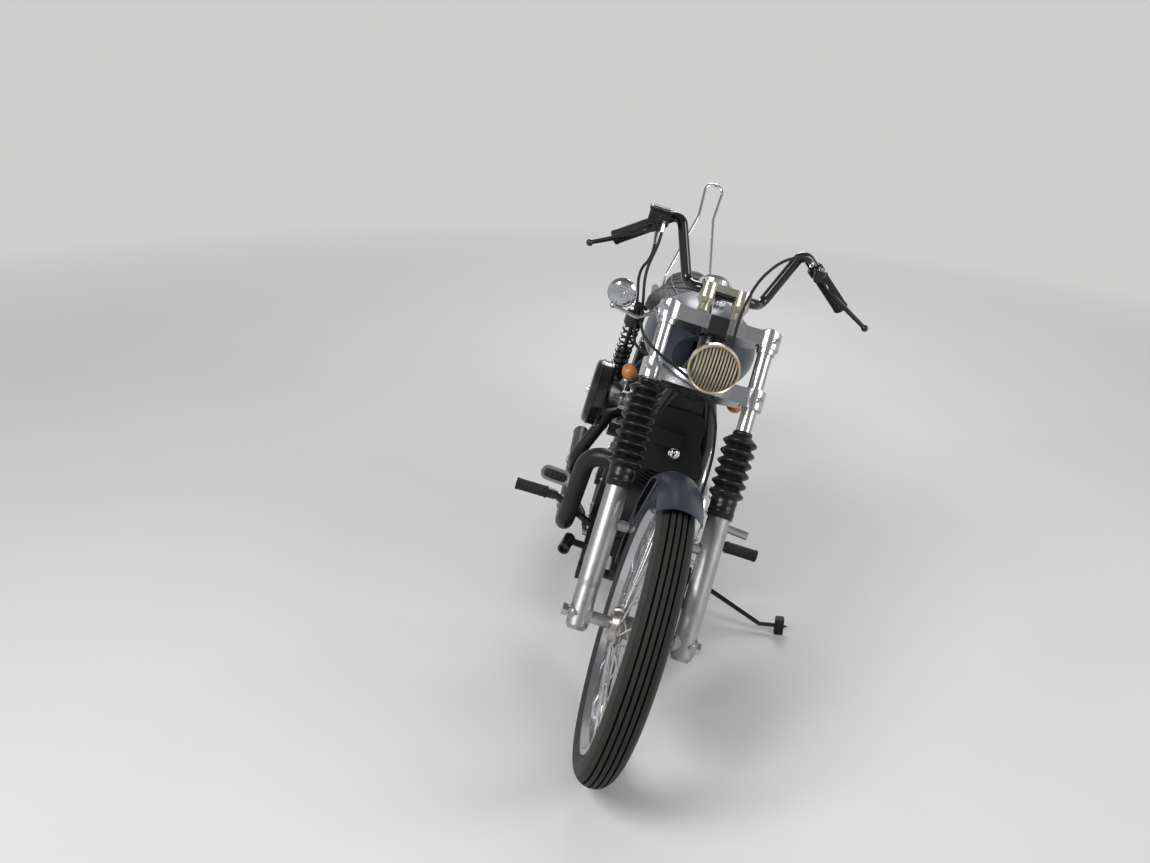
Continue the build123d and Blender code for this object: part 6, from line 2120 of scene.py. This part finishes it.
@dataclass
class Stage:
    """The floor, soft studio light and the camera at the photograph's angle."""

    stance: Stance
    image_width: int = 1150
    focal_px: float = 1007.99
    sensor: float = 36.0
    floor_half: float = 14.0
    from_hub: Place = (0.0018, -1.9017, 1.2441)
    yaw: float = -0.0788
    pitch: float = -0.3901
    roll: float = 0.0520
    room_light: tuple[tuple[float, Colour], ...] = (
        (0.0, (0.10, 0.10, 0.103)), (0.48, (0.12, 0.12, 0.12)), (0.56, (0.20, 0.20, 0.20)),
        (0.78, (0.32, 0.323, 0.326)), (1.0, (0.50, 0.505, 0.51)),
    )
    room_seen: tuple[tuple[float, Colour], ...] = (
        (0.0, BACKDROP), (0.66, BACKDROP), (0.76, (0.30, 0.30, 0.303)), (1.0, (0.16, 0.16, 0.165)),
    )

    def camera(self) -> None:
        """Places the camera from the solved viewpoint, tied to the front hub."""
        data = bpy.data.cameras.new("view")
        data.sensor_width = self.sensor
        data.lens = self.focal_px / self.image_width * self.sensor
        camera = new_object("view", data)
        forward = Vector((
            sin(self.yaw) * cos(self.pitch), cos(self.yaw) * cos(self.pitch),
            sin(self.pitch)))
        right = forward.cross(Vector((0, 0, 1))).normalized()
        up = right.cross(forward)
        x = right * cos(self.roll) + up * sin(self.roll)
        y = up * cos(self.roll) - right * sin(self.roll)
        place = self.stance.hub + Vector(self.from_hub)
        camera.matrix_world = Matrix((
            (x.x, y.x, -forward.x, place.x), (x.y, y.y, -forward.y, place.y),
            (x.z, y.z, -forward.z, place.z), (0, 0, 0, 1),
        ))
        bpy.context.scene.camera = camera

    def lamp(self, name: str, at: Point, aim: Point, size: float, power: float) -> None:
        """Adds one soft white lamp.

        Args:
            name: Its name.
            at: Where it hangs.
            aim: The point it faces.
            size: Its side, in metres.
            power: Its power, in watts.
        """
        data = bpy.data.lights.new(name, "AREA")
        data.size = size
        data.energy = power
        made = new_object(name, data)
        made.location = at
        made.rotation_euler = (Vector(aim) - Vector(at)).to_track_quat("-Z", "Y").to_euler()

    def world(self) -> None:
        """Adds the soft room that lights the machine and the pale backdrop, which darkens overhead."""
        world = bpy.data.worlds.new("studio")
        world.use_nodes = True
        world.node_tree.nodes.clear()
        graph = Graph(world.node_tree)
        out = graph.node("ShaderNodeOutputWorld")
        back = graph.node("ShaderNodeBackground")
        place = graph.node("ShaderNodeSeparateXYZ")
        graph.put(place.inputs[0], graph.node("ShaderNodeTexCoord").outputs["Generated"])
        ramps = []
        for table in (self.room_light, self.room_seen):
            ramp = graph.node("ShaderNodeValToRGB")
            stops = ramp.color_ramp.elements
            stops[0].position, stops[0].color = table[0][0], (*table[0][1], 1.0)
            stops[1].position, stops[1].color = table[-1][0], (*table[-1][1], 1.0)
            for position, colour in table[1:-1]:
                stops.new(position).color = (*colour, 1.0)
            graph.put(ramp.inputs[0], graph.ramp(place.outputs[2], -1.0, 1.0))
            ramps.append(ramp.outputs[0])
        graph.put(back.inputs[0], graph.mix(graph.seen_rays(), *ramps))
        back.inputs[1].default_value = 1.0
        graph.put(out.inputs[0], back.outputs[0])
        bpy.context.scene.world = world

    def floor(self) -> None:
        """Lays the plain floor."""
        mesh = bpy.data.meshes.new("floor")
        s = self.floor_half
        mesh.from_pydata([(-s, -s, 0), (s, -s, 0), (s, s, 0), (-s, s, 0)], [], [(0, 1, 2, 3)])
        floor = new_object("floor", mesh)
        mesh.materials.append(Finishes.FLOOR.material())
        floor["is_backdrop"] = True

    def build(self) -> None:
        """Sets the stage."""
        self.camera()
        self.world()
        self.floor()
        self.lamp("key", (-2.2, -2.9, 3.6), (0, -0.3, 0.5), 1.7, 150)
        self.lamp("fill", (3.4, -1.8, 2.6), (0, -0.2, 0.6), 1.9, 68)
        self.lamp("rear", (0.4, 3.8, 3.2), (0, 0.2, 0.7), 1.9, 85)
        bpy.context.scene.view_settings.view_transform = "Standard"


def box_list(box: Sequence[Vector]) -> list[list[float]]:
    """A box's corners as plain lists."""
    return [[float(v) for v in corner] for corner in box]


def main() -> list[list[float]]:
    """Builds the machine and its stage.

    Returns:
        The CAD's box before anything was added.
    """
    logging.basicConfig(level=logging.INFO, format="%(name)s: %(message)s")
    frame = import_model()
    cad_box = box_list(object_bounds())
    stance = Stance(frame["joints"])
    nodes = frame["nodes"]
    Stage(stance).build()
    Wheel(stance, nodes).build()
    Wheel(stance, nodes, name="rear", body=Body.REAR_WHEEL, hub=LAYOUT.rear_hub, radius=320.0, crown=72.0,
          half=65.0, flange=218.0, rim_half=46.0, groove_at=(-34.0, -12.0, 12.0, 34.0), groove_half=2.6,
          groove_depth=6.0, tread_half=60.0, shoulder_cuts=48, spoke_count=20, hub_x=36.0, rim_x=12.0,
          hub_r=55.0, sweep_deg=44.0, segments=240).build()
    Fork(stance, nodes).build()
    Cockpit(stance, nodes).build()
    Engine(stance, nodes).build()
    FinalDrive(stance, nodes).build()
    Chassis(stance, nodes).build()
    Bodywork(stance, nodes).build()
    Seat(stance, nodes).build()
    return cad_box


if __name__ == "__main__":
    CAD_BOX = main()
